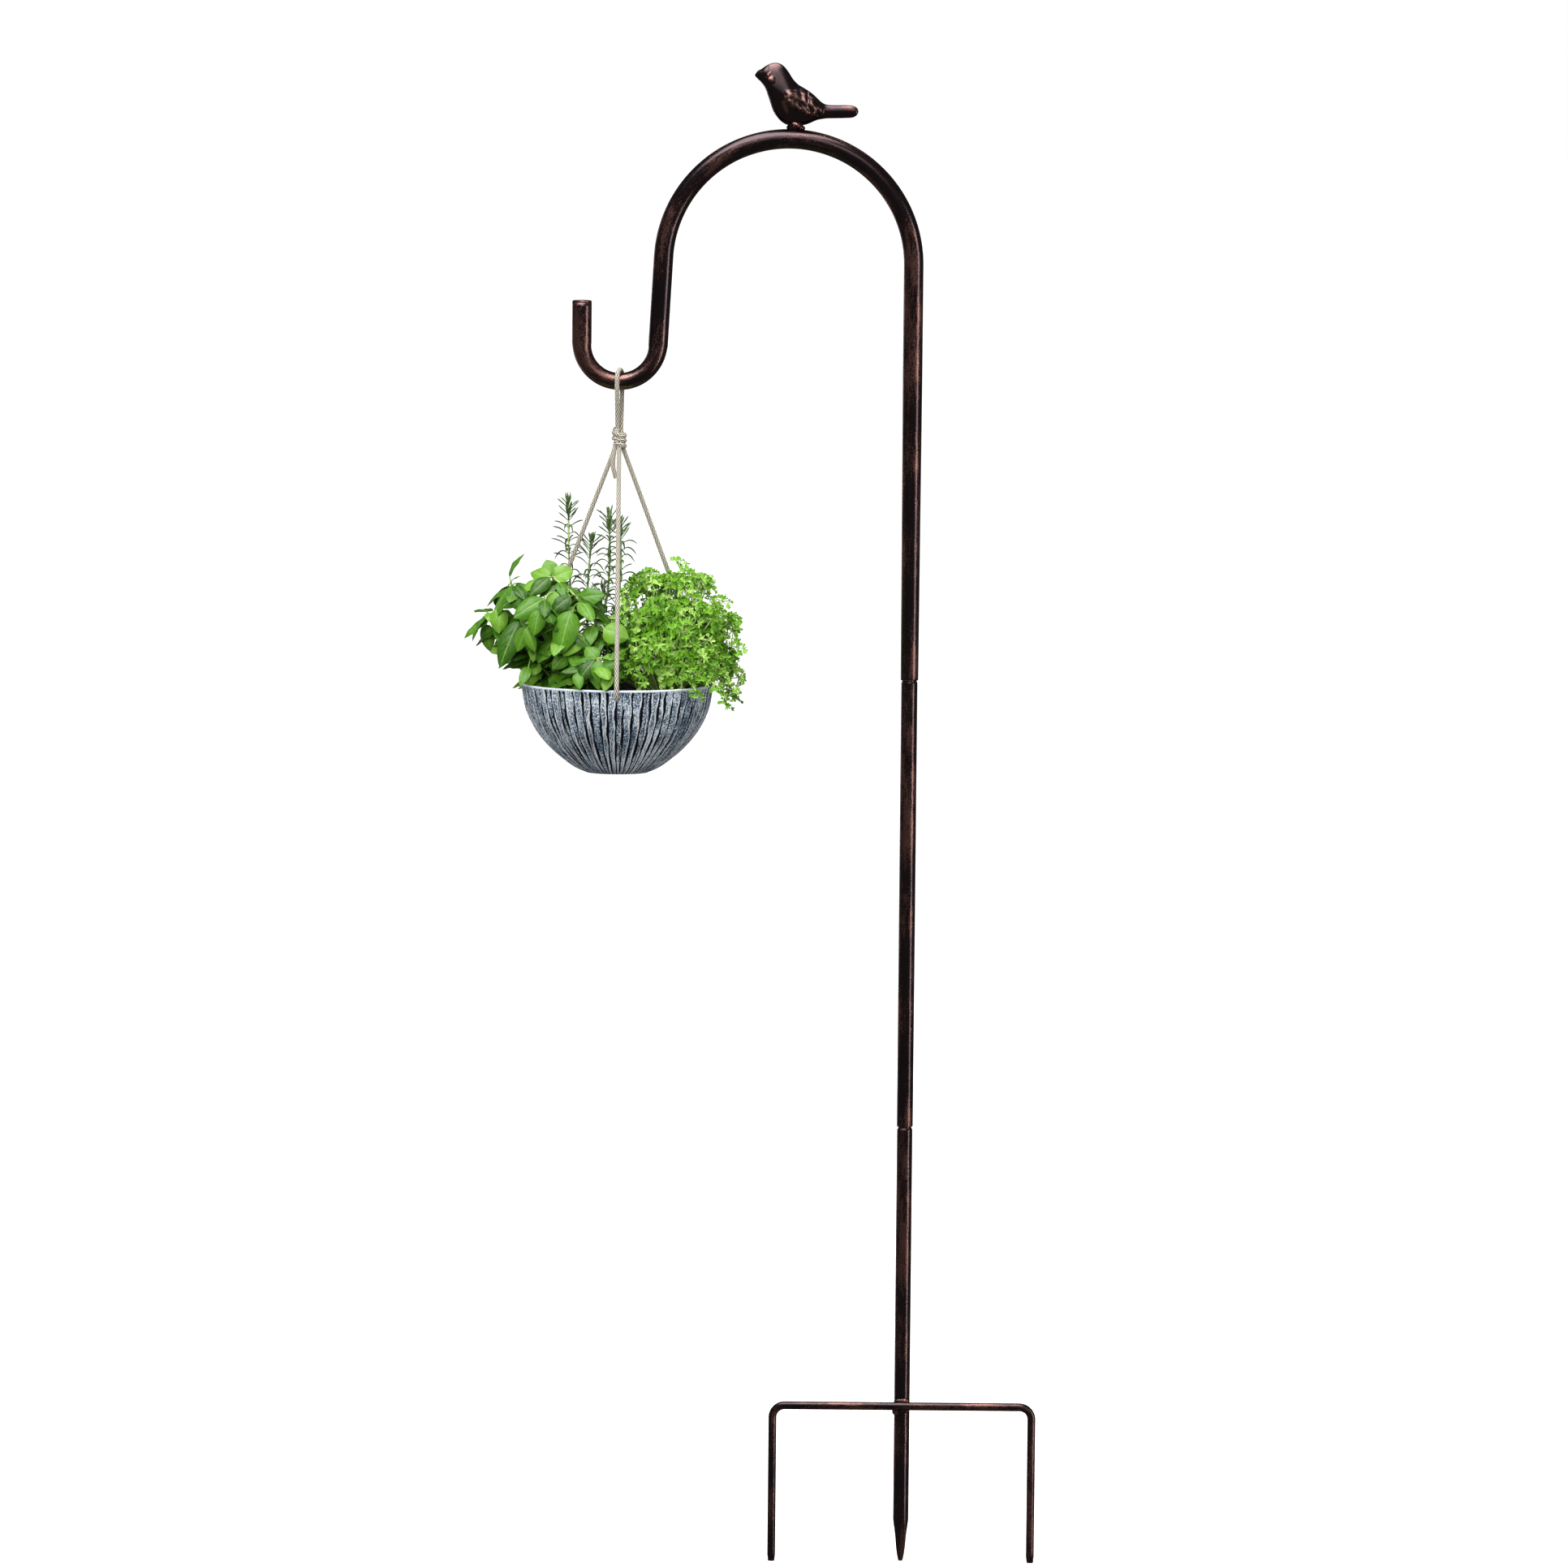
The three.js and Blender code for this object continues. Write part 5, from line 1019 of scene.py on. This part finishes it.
# Stem, base, tip, width and the way it faces, for each large leaf. Those at the back are guessed.
BASIL_LEAVES = [
    ("A", (-107, -2, 104), (-95, -6, 128), 9, "left"), ("A", (-104, -8, 101), (-96, -12, 106), 5, "up"),
    ("A", (-104, -8, 96), (-127, -22, 61), 17, "left"), ("E", (-128, -2, 67), (-146, -12, 43), 10, "left"),
    ("E", (-130, 6, 56), (-125, 8, 28), 12, "front"), ("A", (-116, -18, 74), (-116, -30, 51), 15, "front"),
    ("A", (-89, -22, 90), (-114, -34, 78), 15, "front"), ("A", (-99, -6, 98), (-84, -16, 91), 13, "up"),
    ("B", (-67, -6, 104), (-88, 6, 110), 13, "front"), ("B", (-67, -14, 104), (-86, -30, 88), 13, "front"),
    ("B", (-64, 0, 104), (-71, 8, 121), 14, "front"), ("B", (-62, -6, 104), (-44, -2, 112), 16, "front"),
    ("C", (-71, -40, 85), (-101, -56, 68), 18, "front"), ("C", (-76, -52, 75), (-81, -62, 51), 14, "front"),
    ("E", (-97, -30, 62), (-115, -48, 18), 18, "front"), ("E", (-89, -40, 57), (-98, -44, 33), 12, "front"),
    ("C", (-89, -50, 57), (-79, -58, 35), 10, "front"), ("C", (-62, -30, 92), (-65, -44, 56), 13, "front"),
    ("B", (-46, -36, 87), (-64, -48, 74), 13, "front"), ("C", (-45, -58, 75), (-56, -74, 34), 21, "front"),
    ("B", (-39, -28, 84), (-12, -34, 90), 16, "front"), ("C", (-35, -52, 52), (-52, -66, 33), 17, "front"),
    ("B", (-13, -54, 57), (12, -62, 50), 20, "front"), ("D", (-19, -74, 29), (-30, -66, 42), 13, "front"),
    ("D", (-22, -78, 28), (-36, -90, 10), 14, "front"), ("D", (-18, -80, 28), (-16, -94, 9), 12, "front"),
    ("D", (-12, -74, 27), (1, -82, 26), 18, "front"), ("D", (-38, -82, 16), (-35, -98, 4), 9, "front"),
    ("D", (-6, -84, 15), (-11, -102, 1), 10, "front"), ("E", (-86, -40, 18), (-94, -58, 2), 9, "front"),
    ("E", (-75, -30, 19), (-83, -40, 10), 7, "front"), ("E", (-110, 2, 33), (-125, -4, 30), 10, "front"),
    ("E", (-84, -14, 29), (-108, -24, 27), 10, "up"), ("C", (-64, -34, 43), (-77, -46, 22), 15, "front"),
    ("C", (-48, -56, 31), (-62, -68, 20), 13, "front"), ("B", (-32, -8, 79), (-16, -6, 72), 11, "front"),
    ("B", (-25, -22, 64), (-5, -26, 61), 9, "up"), ("F", (-82, 18, 76), (-94, 34, 91), 13, "back"),
    ("F", (-73, 22, 87), (-82, 36, 105), 12, "back"), ("G", (-101, 24, 59), (-117, 40, 66), 13, "back"),
    ("G", (-106, 26, 47), (-124, 44, 40), 13, "back"), ("G", (-92, 34, 37), (-106, 56, 20), 12, "back"),
    ("G", (-81, 40, 32), (-86, 66, 9), 12, "back"), ("G", (-90, 30, 61), (-99, 54, 45), 14, "back"),
    ("F", (-76, 12, 60), (-81, 13, 43), 12, "back"), ("G", (-97, 22, 73), (-109, 34, 81), 11, "back"),
]

ROSEMARY_SPRIGS = [
    [[-36, 30, 30], [-46, 32, 78], [-49, 30, 120], [-50, 28, 176]],
    [[-24, 32, 30], [-12, 34, 80], [-9, 32, 120], [-10, 30, 163]],
    [[-30, 36, 30], [-31, 38, 70], [-30, 36, 104], [-27, 34, 138]],
    [[-20, 26, 30], [-4, 26, 70], [2, 24, 104], [1, 22, 156]],
    [[-44, 34, 20], [-56, 44, 52], [-62, 50, 92]],
    [[-24, 40, 20], [-20, 52, 52], [-16, 58, 88]],
    [[-36, 42, 14], [-42, 58, 40], [-44, 68, 68]],
    [[-14, 36, 14], [-4, 50, 36], [0, 62, 58]],
]

PARSLEY_TRAILS = [
    [[70, -40, 12], [90, -60, 8], [104, -66, -2], [108, -68, -14]],
    [[60, -50, 10], [72, -72, 7], [80, -82, -4]],
    [[84, -16, 10], [100, -26, 8], [114, -30, 0], [116, -30, -10]],
    [[76, 30, 10], [96, 40, 8], [108, 46, -2], [110, 48, -14]],
]
PARSLEY_TALL = [(62, 14, 118), (84, 6, 105), (104, -4, 84), (113, 10, 66), (118, -12, 40), (32, 24, 108)]
FACINGS = {
    "front": (0, -0.85, 0.5), "up": (0, -0.25, 1), "left": (-0.9, -0.4, 0.3), "back": (-0.2, 0.85, 0.5),
}
GOLDEN = 2.39996  # the turn, in radians, that spreads places evenly round a spiral
WALL_CLEAR, SOIL_CLEAR = 0.8, 0.4  # leaves stay this far off the bowl's wall and the soil
INSIDE_R, OUTSIDE_R = RIM_R - 5.6, RIM_R - 2.6  # in the wall, leaves go in to the first; past the second, out


def plant_point(p):
    return np.array([HANG_X + p[0], p[1], RIM_Z + p[2]], float)


def clear_of_bowl(verts):
    """Points that would pass through the bowl's wall or soil are put just clear of it."""
    verts = np.array(verts, float)
    x, y = verts[:, 0] - HANG_X, verts[:, 1]
    r = np.hypot(x, y) + 1e-9
    z = verts[:, 2]
    low = z < RIM_Z + WALL_CLEAR
    inner = INSIDE_R - np.clip(RIM_Z - z, 0, 30) * 0.12
    outside = low & (r > OUTSIDE_R)
    within = low & ~outside & (r > inner)
    new_r = np.where(outside, np.maximum(r, RIM_R + WALL_CLEAR + 0.3), np.where(within, inner, r))
    verts[:, 0] = HANG_X + x * new_r / r
    verts[:, 1] = y * new_r / r
    over_soil = (new_r < RIM_R) & (z < SOIL_Z + SOIL_CLEAR)
    verts[:, 2] = np.where(over_soil, SOIL_Z + SOIL_CLEAR, z)
    return verts


LEAF_ROWS, LEAF_COLUMNS = 17, 11


def leaf_blade(base, tip, width, facing, own, droop, cup):
    """An ovate, pointed blade: midrib sunken, edges curled down, flesh puckered between the veins."""
    along = tip - base
    length = np.linalg.norm(along)
    along = along / length
    up = np.array(facing, float)
    up = unit(up - along * up.dot(along))
    side = np.cross(along, up)
    verts, blade = [], []
    for i in range(LEAF_ROWS):
        t = i / (LEAF_ROWS - 1)
        w = (t**0.50) * ((1 - t) ** 0.72) * (1 - 0.35 * max(0, t - 0.7)) / 0.545
        w = max(w, 0.03) * width / 2
        for j in range(LEAF_COLUMNS):
            u = -1 + 2 * j / (LEAF_COLUMNS - 1)
            dome = w * (0.16 * abs(u) ** 0.6 - 0.85 * cup * abs(u) ** 2.2)
            pucker = 0.032 * length * sin((t - 0.42 * abs(u)) * 22) * abs(u) * (1.15 - abs(u))
            arch = -droop * length * t * t + 0.05 * length * sin(pi * t)
            wave = 0.08 * w * sin(t * 12 + 6.28 * own + (1.5 if u > 0 else 0)) * abs(u) ** 2
            verts.append(base + along * length * (t - 0.03 * abs(u) * t) + side * (w * u)
                         + up * (dome + pucker + arch + wave))
            blade.append((u, t, own))
    faces = grid_faces(LEAF_ROWS, LEAF_COLUMNS, closed=False)
    return np.array(verts), faces, {"blade": np.array(blade)}


def shoot(points, r0, r1, own, sides, step=4.0):
    """A stem or stalk that thins from r0 to r1."""
    line = resample(points, step)
    verts, faces, along, angle = tube(line, lambda t: r0 + (r1 - r0) * t, sides)
    blade = np.stack([np.cos(angle), along / along.max(), np.full(len(verts), own)], 1)
    return verts, faces, {"blade": blade}


def nearest_on(points, target):
    """The place on a line that is nearest to the target."""
    best, where = 1e9, points[0]
    for a, b in zip(points[:-1], points[1:]):
        t = np.clip(np.dot(target - a, b - a) / np.dot(b - a, b - a), 0, 1)
        q = a + (b - a) * t
        if np.linalg.norm(q - target) < best:
            best, where = np.linalg.norm(q - target), q
    return where


def planted(name, parts, material, slot, node, past=None):
    """A piece of a plant, clear of the bowl and at most so many millimetres past the solids' box."""
    verts, faces, values = joined(parts)
    verts = clear_of_bowl(verts)
    if past is not None:
        verts = np.clip(verts, np.array(cad_box[0]) / MM - past, np.array(cad_box[1]) / MM + past)
    place(name, (verts, faces, values), material, "planter", slot, [node])


BASIL_PAIR_STEP = 7.0  # up a stem from one pair of leaves to the next
BASIL_BROADER = 1.5  # blades are this much broader than the widths given


def basil():
    rng = random.Random(21)
    crown = np.array([HANG_X - 44, -10, SOIL_Z + 1.0])
    stems, blades, stalks = {}, [], []
    for name, places in BASIL_STEMS.items():
        stems[name] = resample([crown, *map(plant_point, places)], 3)
        stalks.append(shoot(stems[name], 1.7, 0.95, rng.random(), 9))
    rows = []
    for name, base, tip, width, facing in BASIL_LEAVES:
        rows.append((name, plant_point(base), plant_point(tip), width, np.array(FACINGS[facing], float)))
    # More leaves in pairs up each stem, which fill the bush behind and between the large ones.
    for name, line in stems.items():
        count = int(lengths(line)[-1] / BASIL_PAIR_STEP)
        for i in range(2, count + 1):
            p = line[min(int(len(line) * i / count), len(line) - 1)]
            turn = i * pi / 2 + rng.uniform(-0.5, 0.5)
            for s in (0, pi):
                a = turn + s
                out = np.array([cos(a), sin(a), rng.uniform(-0.45, 0.3)])
                long = rng.uniform(19, 33) * (0.75 if i < 4 else 1)
                base = p + out * rng.uniform(3, 8)
                tip = base + out * long + np.array([0, 0, -rng.uniform(3, 14)])
                facing = np.array([0.35 * cos(a), 0.35 * sin(a) - 0.35, 0.9])
                rows.append((name, base, tip, long * rng.uniform(0.42, 0.52), facing))
    for name, base, tip, width, facing in rows:
        own = rng.random()
        start = nearest_on(stems[name], base)
        if np.linalg.norm(start - base) > 0.6:
            knee = (start + base) / 2 + np.array([0, 0, 0.12 * np.linalg.norm(start - base)])
            stalks.append(shoot([start, knee, base + (tip - base) * 0.05], 0.75, 0.5, own, 6, 2.5))
        droop, cup = rng.uniform(0.06, 0.22), rng.uniform(0.15, 0.6)
        blades.append(leaf_blade(base, tip, width * BASIL_BROADER, facing, own, droop, cup))
    return blades, stalks


leaves, stems = basil()
planted("basil_leaves", leaves, BASIL, "basil_leaf", "basil")
planted("basil_stems", stems, BASIL_STEM, "basil_leaf", "basil")


def needle_blade(root, up, out, length, own, curl, width):
    """A narrow leaf that rises from the stem and arches over, with its edges rolled under."""
    rows = 9
    side = unit(np.cross(up, out))
    line = []
    for i in range(rows):
        t = i / (rows - 1)
        line.append(root + out * length * (0.86 * t - 0.10 * t * t) + up * length * (0.78 * t - curl * t * t))
    line = np.array(line)
    tangents, _, _ = frames_along(line)
    verts, blade = [], []
    for i, (p, ahead) in enumerate(zip(line, tangents)):
        t = i / (rows - 1)
        w = width * (0.45 + 0.75 * t) * (1 - t**5) if t < 1 else 0.06
        lift = unit(np.cross(side, ahead))
        # Points on the underside and the edges get 0.4 of the needle's tone, darker: painted shade.
        for u, sunk in ((-1, 0.0), (-0.6, 0.44), (0, 0.60), (0.6, 0.44), (1, 0.0), (0, -0.22)):
            verts.append(p + side * (w * u / 2) + lift * (sunk * w * 0.9))
            blade.append((u, t, own if sunk > 0 else own * 0.4))
    return np.array(verts), grid_faces(rows, 6), {"blade": np.array(blade)}


FIRST_NEEDLES = 16  # millimetres of bare stem
YOUNG = 0.88  # from this share of a sprig up its needles are short and upright
TIP_NEEDLES = 7


def rosemary():
    rng = random.Random(5)
    crown = np.array([HANG_X - 30, 30, SOIL_Z + 1.0])
    blades, stalks = [], []
    up = np.array([0.0, 0, 1])
    for s, places in enumerate(ROSEMARY_SPRIGS):
        line = resample([crown, *map(plant_point, places)], 1.0)
        stalks.append(shoot(line[::4], 1.5, 0.85, rng.random(), 8))
        tangents, sides, ups = frames_along(line)
        total = len(line)
        i, count = FIRST_NEEDLES, s
        while i < total - 2:
            t = i / total
            turn = count * pi / 2 + rng.uniform(-0.35, 0.35)
            heading = unit(tangents[i] + 0.4 * up)
            for half in (0, pi, pi / 2, -pi / 2):
                if half in (pi / 2, -pi / 2) and rng.random() < 0.35:
                    continue
                a = turn + half
                out = sides[i] * cos(a) + ups[i] * sin(a)
                tall = t > YOUNG
                long = rng.uniform(16, 24) * (0.85 if tall else 1)
                curl = rng.uniform(0.05, 0.35) if tall else rng.choice((0.45, 0.8, 1.05, 1.2))
                lean = rng.uniform(0.55, 1.0) if tall else rng.uniform(0.85, 1.05)
                own = rng.random() * (0.7 if not tall else 1)
                root, width = line[i] + out * 0.7, rng.uniform(2.0, 2.6)
                blades.append(needle_blade(root, heading, out * lean, long, own, curl, width))
            i += 3 if t > YOUNG else rng.choice((5, 6, 6, 7))
            count += 1
        for k in range(TIP_NEEDLES):
            a = k * GOLDEN
            out = np.array([cos(a), sin(a), 0.0]) * rng.uniform(0.12, 0.4)
            long, own = rng.uniform(12, 17), 0.4 + 0.6 * rng.random()
            blades.append(needle_blade(line[-1] - up * 3.0, up, out, long, own, rng.uniform(-0.1, 0.15), 2.1))
    return blades, stalks


leaves, stems = rosemary()
planted("rosemary_needles", leaves, ROSEMARY, "rosemary_leaf", "rosemary")
planted("rosemary_stems", stems, ROSEMARY_STEM, "rosemary_leaf", "rosemary")


def curled_leaflet(centre, normal, turn, size, own, lobes):
    """A fan of a parsley leaf: deeply lobed, toothed and ruffled at its edge."""
    up = unit(np.asarray(normal, float))
    side = unit(np.cross(np.array([0, 0, 1.0]) if abs(up[2]) < 0.9 else np.array([1.0, 0, 0]), up))
    other = np.cross(up, side)
    c, s = cos(turn), sin(turn)
    side, other = side * c + other * s, -side * s + other * c
    columns = 8 * lobes // 2 + 1
    verts, blade = [], []
    for t in (0.0, 0.42, 0.74, 1.0):
        for j in range(columns):
            a = -2.0 + 4.0 * j / (columns - 1)
            lobe = abs(cos(pi * lobes * (a + 2.0) / 4.0 - pi * lobes / 2))
            r = size * t * (1 - (0.55 * (1 - lobe**0.8)) * (t > 0.5))
            ruffle = size * t * t * (0.26 * sin(a * lobes * 1.3 + own * 9) + 0.22)
            verts.append(centre + other * (r * cos(a)) + side * (r * sin(a)) + up * ruffle)
            blade.append((a / 2, t, own))
    return np.array(verts), grid_faces(4, columns, closed=False), {"blade": np.array(blade)}


PARSLEY_AT, PARSLEY_SIZE, PARSLEY_SQUARE = (52, 2, 0), (69, 72, 114), 2.2  # a squarish dome
PARSLEY_OUTER, PARSLEY_INNER, PARSLEY_BARE = 132, 64, 26  # leaves on the dome and in it, and bare stalks
PARSLEY_PAST_BOX = 4.0
FRONT_CORD_CLEAR = 13.0


def behind_front_cord(p):
    """The place moved back where it would meet the cord in front."""
    up = p[2] - RIM_Z
    if up > 4 and abs(p[0] - HANG_X) < 20:
        cord_y = -HANGER_OUT_R + (HANGER_OUT_R - HANGER_TOP_R) * up / (HANGER_TOP_Z - RIM_Z)
        p = np.array([p[0], max(p[1], cord_y + FRONT_CORD_CLEAR), p[2]])
    return p


def sprig(parts, stalks, start, centre, outward, rng, size=1.0, fans=9):
    """A parsley leaf: a stalk from the crown with fans in pairs up its end."""
    outward = unit(np.asarray(outward, float))
    centre = behind_front_cord(np.asarray(centre, float))
    tone = rng.random()
    if start is not None:
        bow = start * 0.45 + centre * 0.55 + np.array([0, 0, rng.uniform(-4, 8)])
        stalks.append(shoot([start, bow, centre - outward * 3], 1.0, 0.55, rng.random(), 5, 7))
    a0 = rng.uniform(0, 6.28)
    side = unit(np.cross(outward, np.array([0.3, 0.2, 1.0])))
    up = np.cross(side, outward)
    for k in range(fans):
        a = a0 + k * GOLDEN
        spread = 0 if k == 0 else 4.9 * size * sqrt(k)
        heading = side * cos(a) + up * sin(a)
        at = centre + heading * spread * 0.85 + outward * (rng.uniform(-1.5, 2.5) - 0.035 * spread * spread)
        stray = np.array([rng.uniform(-0.4, 0.4), rng.uniform(-0.4, 0.2), rng.uniform(0.0, 0.7)])
        lean = unit(outward * 1.1 + 0.8 * heading * (k > 0) + stray)
        own = min(1, max(0, 0.45 * tone + 0.55 * rng.random()))
        parts.append(curled_leaflet(at, lean, a + rng.uniform(-0.6, 0.6), size * rng.uniform(4.4, 7.2), own,
                                    rng.choice((4, 6))))
        if k and start is not None:
            stalks.append(shoot([centre - outward * 3, at - lean * 0.3], 0.5, 0.35, rng.random(), 4, 4))


def on_dome(i, count, low):
    """The i-th of a spiral of places over a squarish dome, as a normal and a unit reach."""
    up = low + (1 - low) * (i + 0.5) / count
    flat = sqrt(1 - up * up)
    normal = np.array([flat * cos(i * GOLDEN), flat * sin(i * GOLDEN), up])
    return normal, float(np.sum(np.abs(normal) ** PARSLEY_SQUARE) ** (-1 / PARSLEY_SQUARE))


def parsley():
    rng = random.Random(17)
    crown = np.array([HANG_X + 46, -4, SOIL_Z + 2.0])
    parts, stalks = [], []
    at, size = np.array(PARSLEY_AT, float), np.array(PARSLEY_SIZE, float)
    for i in range(PARSLEY_OUTER):
        normal, reach = on_dome(i, PARSLEY_OUTER, 0.05)
        out = rng.choice((0.80, 0.88, 0.95, 1.02)) if normal[2] < 0.9 else 0.93
        sprig(parts, stalks, crown, plant_point(at + size * normal * reach * out), normal / size * 80, rng)
    for i in range(PARSLEY_INNER):
        normal, reach = on_dome(i, PARSLEY_INNER, 0.25)
        sprig(parts, stalks, None, plant_point(at + size * normal * reach * 0.70), normal, rng, 1.1, 8)
    # Bare stalks fan out low at the front, and a few leaves stand up past the rest.
    for _ in range(PARSLEY_BARE):
        a = -pi / 2 + 0.5 + rng.uniform(-1.0, 1.1)
        end = at + np.array([34 * cos(a), 56 * sin(a), rng.uniform(16, 46)])
        foot = crown + np.array([rng.uniform(-9, 9), -14, 0])
        stalks.append(shoot([foot, plant_point(end)], 1.15, 0.8, rng.random(), 6, 8))
    for tall in PARSLEY_TALL:
        sprig(parts, stalks, crown, plant_point(tall), np.array([0.4, -0.4, 1.0]), rng, 0.9, 7)
    for s, places in enumerate(PARSLEY_TRAILS):
        points = [crown, *map(plant_point, places)]
        stalks.append(shoot(points, 0.95, 0.6, rng.random(), 6, 4))
        for p in points[2:]:
            sprig(parts, stalks, None, p, np.array([0.5, -0.5 + 0.3 * s, 0.7]), rng, 0.85, 6)
    return parts, stalks


leaves, stems = parsley()
planted("parsley_leaves", leaves, PARSLEY, "parsley_leaf", "parsley", PARSLEY_PAST_BOX)
planted("parsley_stalks", stems, PARSLEY_STEM, "parsley_leaf", "parsley")


# ---------- floor and light ----------
FLOOR_Z, FLOOR_HALF = -0.1536, 60.0
floor_mesh = bpy.data.meshes.new("floor")
corners = [(x * FLOOR_HALF, y * FLOOR_HALF, FLOOR_Z) for x, y in ((-1, -1), (1, -1), (1, 1), (-1, 1))]
floor_mesh.from_pydata(corners, [], [(0, 1, 2, 3)])
floor = bpy.data.objects.new("floor", floor_mesh)
scene.collection.objects.link(floor)
n = Nodes("floor_white")
n.set(Base_Color=(0.80, 0.80, 0.80, 1), Roughness=0.9)
n.set(Emission_Color=(1, 1, 1, 1), Emission_Strength=1.0)
n.set(Specular_IOR_Level=0.1)
floor_mesh.materials.append(n.material)
floor.visible_glossy = False
floor.visible_diffuse = False

# The backdrop is white to the camera and dim to everything else, so the metal keeps its dark edges.
world = bpy.data.worlds.new("studio")
scene.world = world
world.use_nodes = True
tree = world.node_tree
background = tree.nodes["Background"]
background.inputs["Color"].default_value = (1, 1, 1, 1)
seen = tree.nodes.new("ShaderNodeLightPath")
strength = tree.nodes.new("ShaderNodeMapRange")
WORLD_GLOSSY, WORLD_DIFFUSE = 0.085, 0.24
tree.links.new(seen.outputs["Is Camera Ray"], strength.inputs["Value"])
others = tree.nodes.new("ShaderNodeMapRange")
tree.links.new(seen.outputs["Is Glossy Ray"], others.inputs["Value"])
others.inputs["To Min"].default_value = WORLD_DIFFUSE
others.inputs["To Max"].default_value = WORLD_GLOSSY
tree.links.new(others.outputs["Result"], strength.inputs["To Min"])
strength.inputs["To Max"].default_value = 1.0
tree.links.new(strength.outputs["Result"], background.inputs["Strength"])


def soft_light(name, at, target, size, radiance, glossy=True):
    """A rectangular softbox, as bright all over as its radiance says."""
    data = bpy.data.lights.new(name, "AREA")
    data.shape = "RECTANGLE"
    data.size, data.size_y = size
    data.energy = pi * size[0] * size[1] * radiance
    obj = bpy.data.objects.new(name, data)
    scene.collection.objects.link(obj)
    obj.location = at
    obj.rotation_mode = "QUATERNION"
    obj.rotation_quaternion = (Vector(target) - Vector(at)).to_track_quat("-Z", "Y")
    obj.visible_glossy = glossy


soft_light("strip_right", (3.2, -1.75, 0.6), (0, 0, 0.6), (0.42, 3.2), 8.5)
soft_light("strip_back_left", (-2.6, 3.4, 0.6), (0, 0, 0.6), (0.5, 3.0), 2.2)
soft_light("top", (-0.5, -0.7, 3.3), (-0.15, 0, 0.7), (2.2, 2.2), 5.2)
soft_light("front_high", (0.2, -3.2, 3.0), (-0.15, 0, 1.15), (2.4, 1.2), 1.5)
soft_light("front", (-1.8, -4.6, 2.4), (-0.15, 0, 0.6), (2.0, 2.0), 11.5, glossy=False)
soft_light("back", (1.6, 4.4, 2.0), (-0.15, 0, 0.6), (2.0, 2.0), 6.0, glossy=False)

scene.view_settings.view_transform = "Standard"
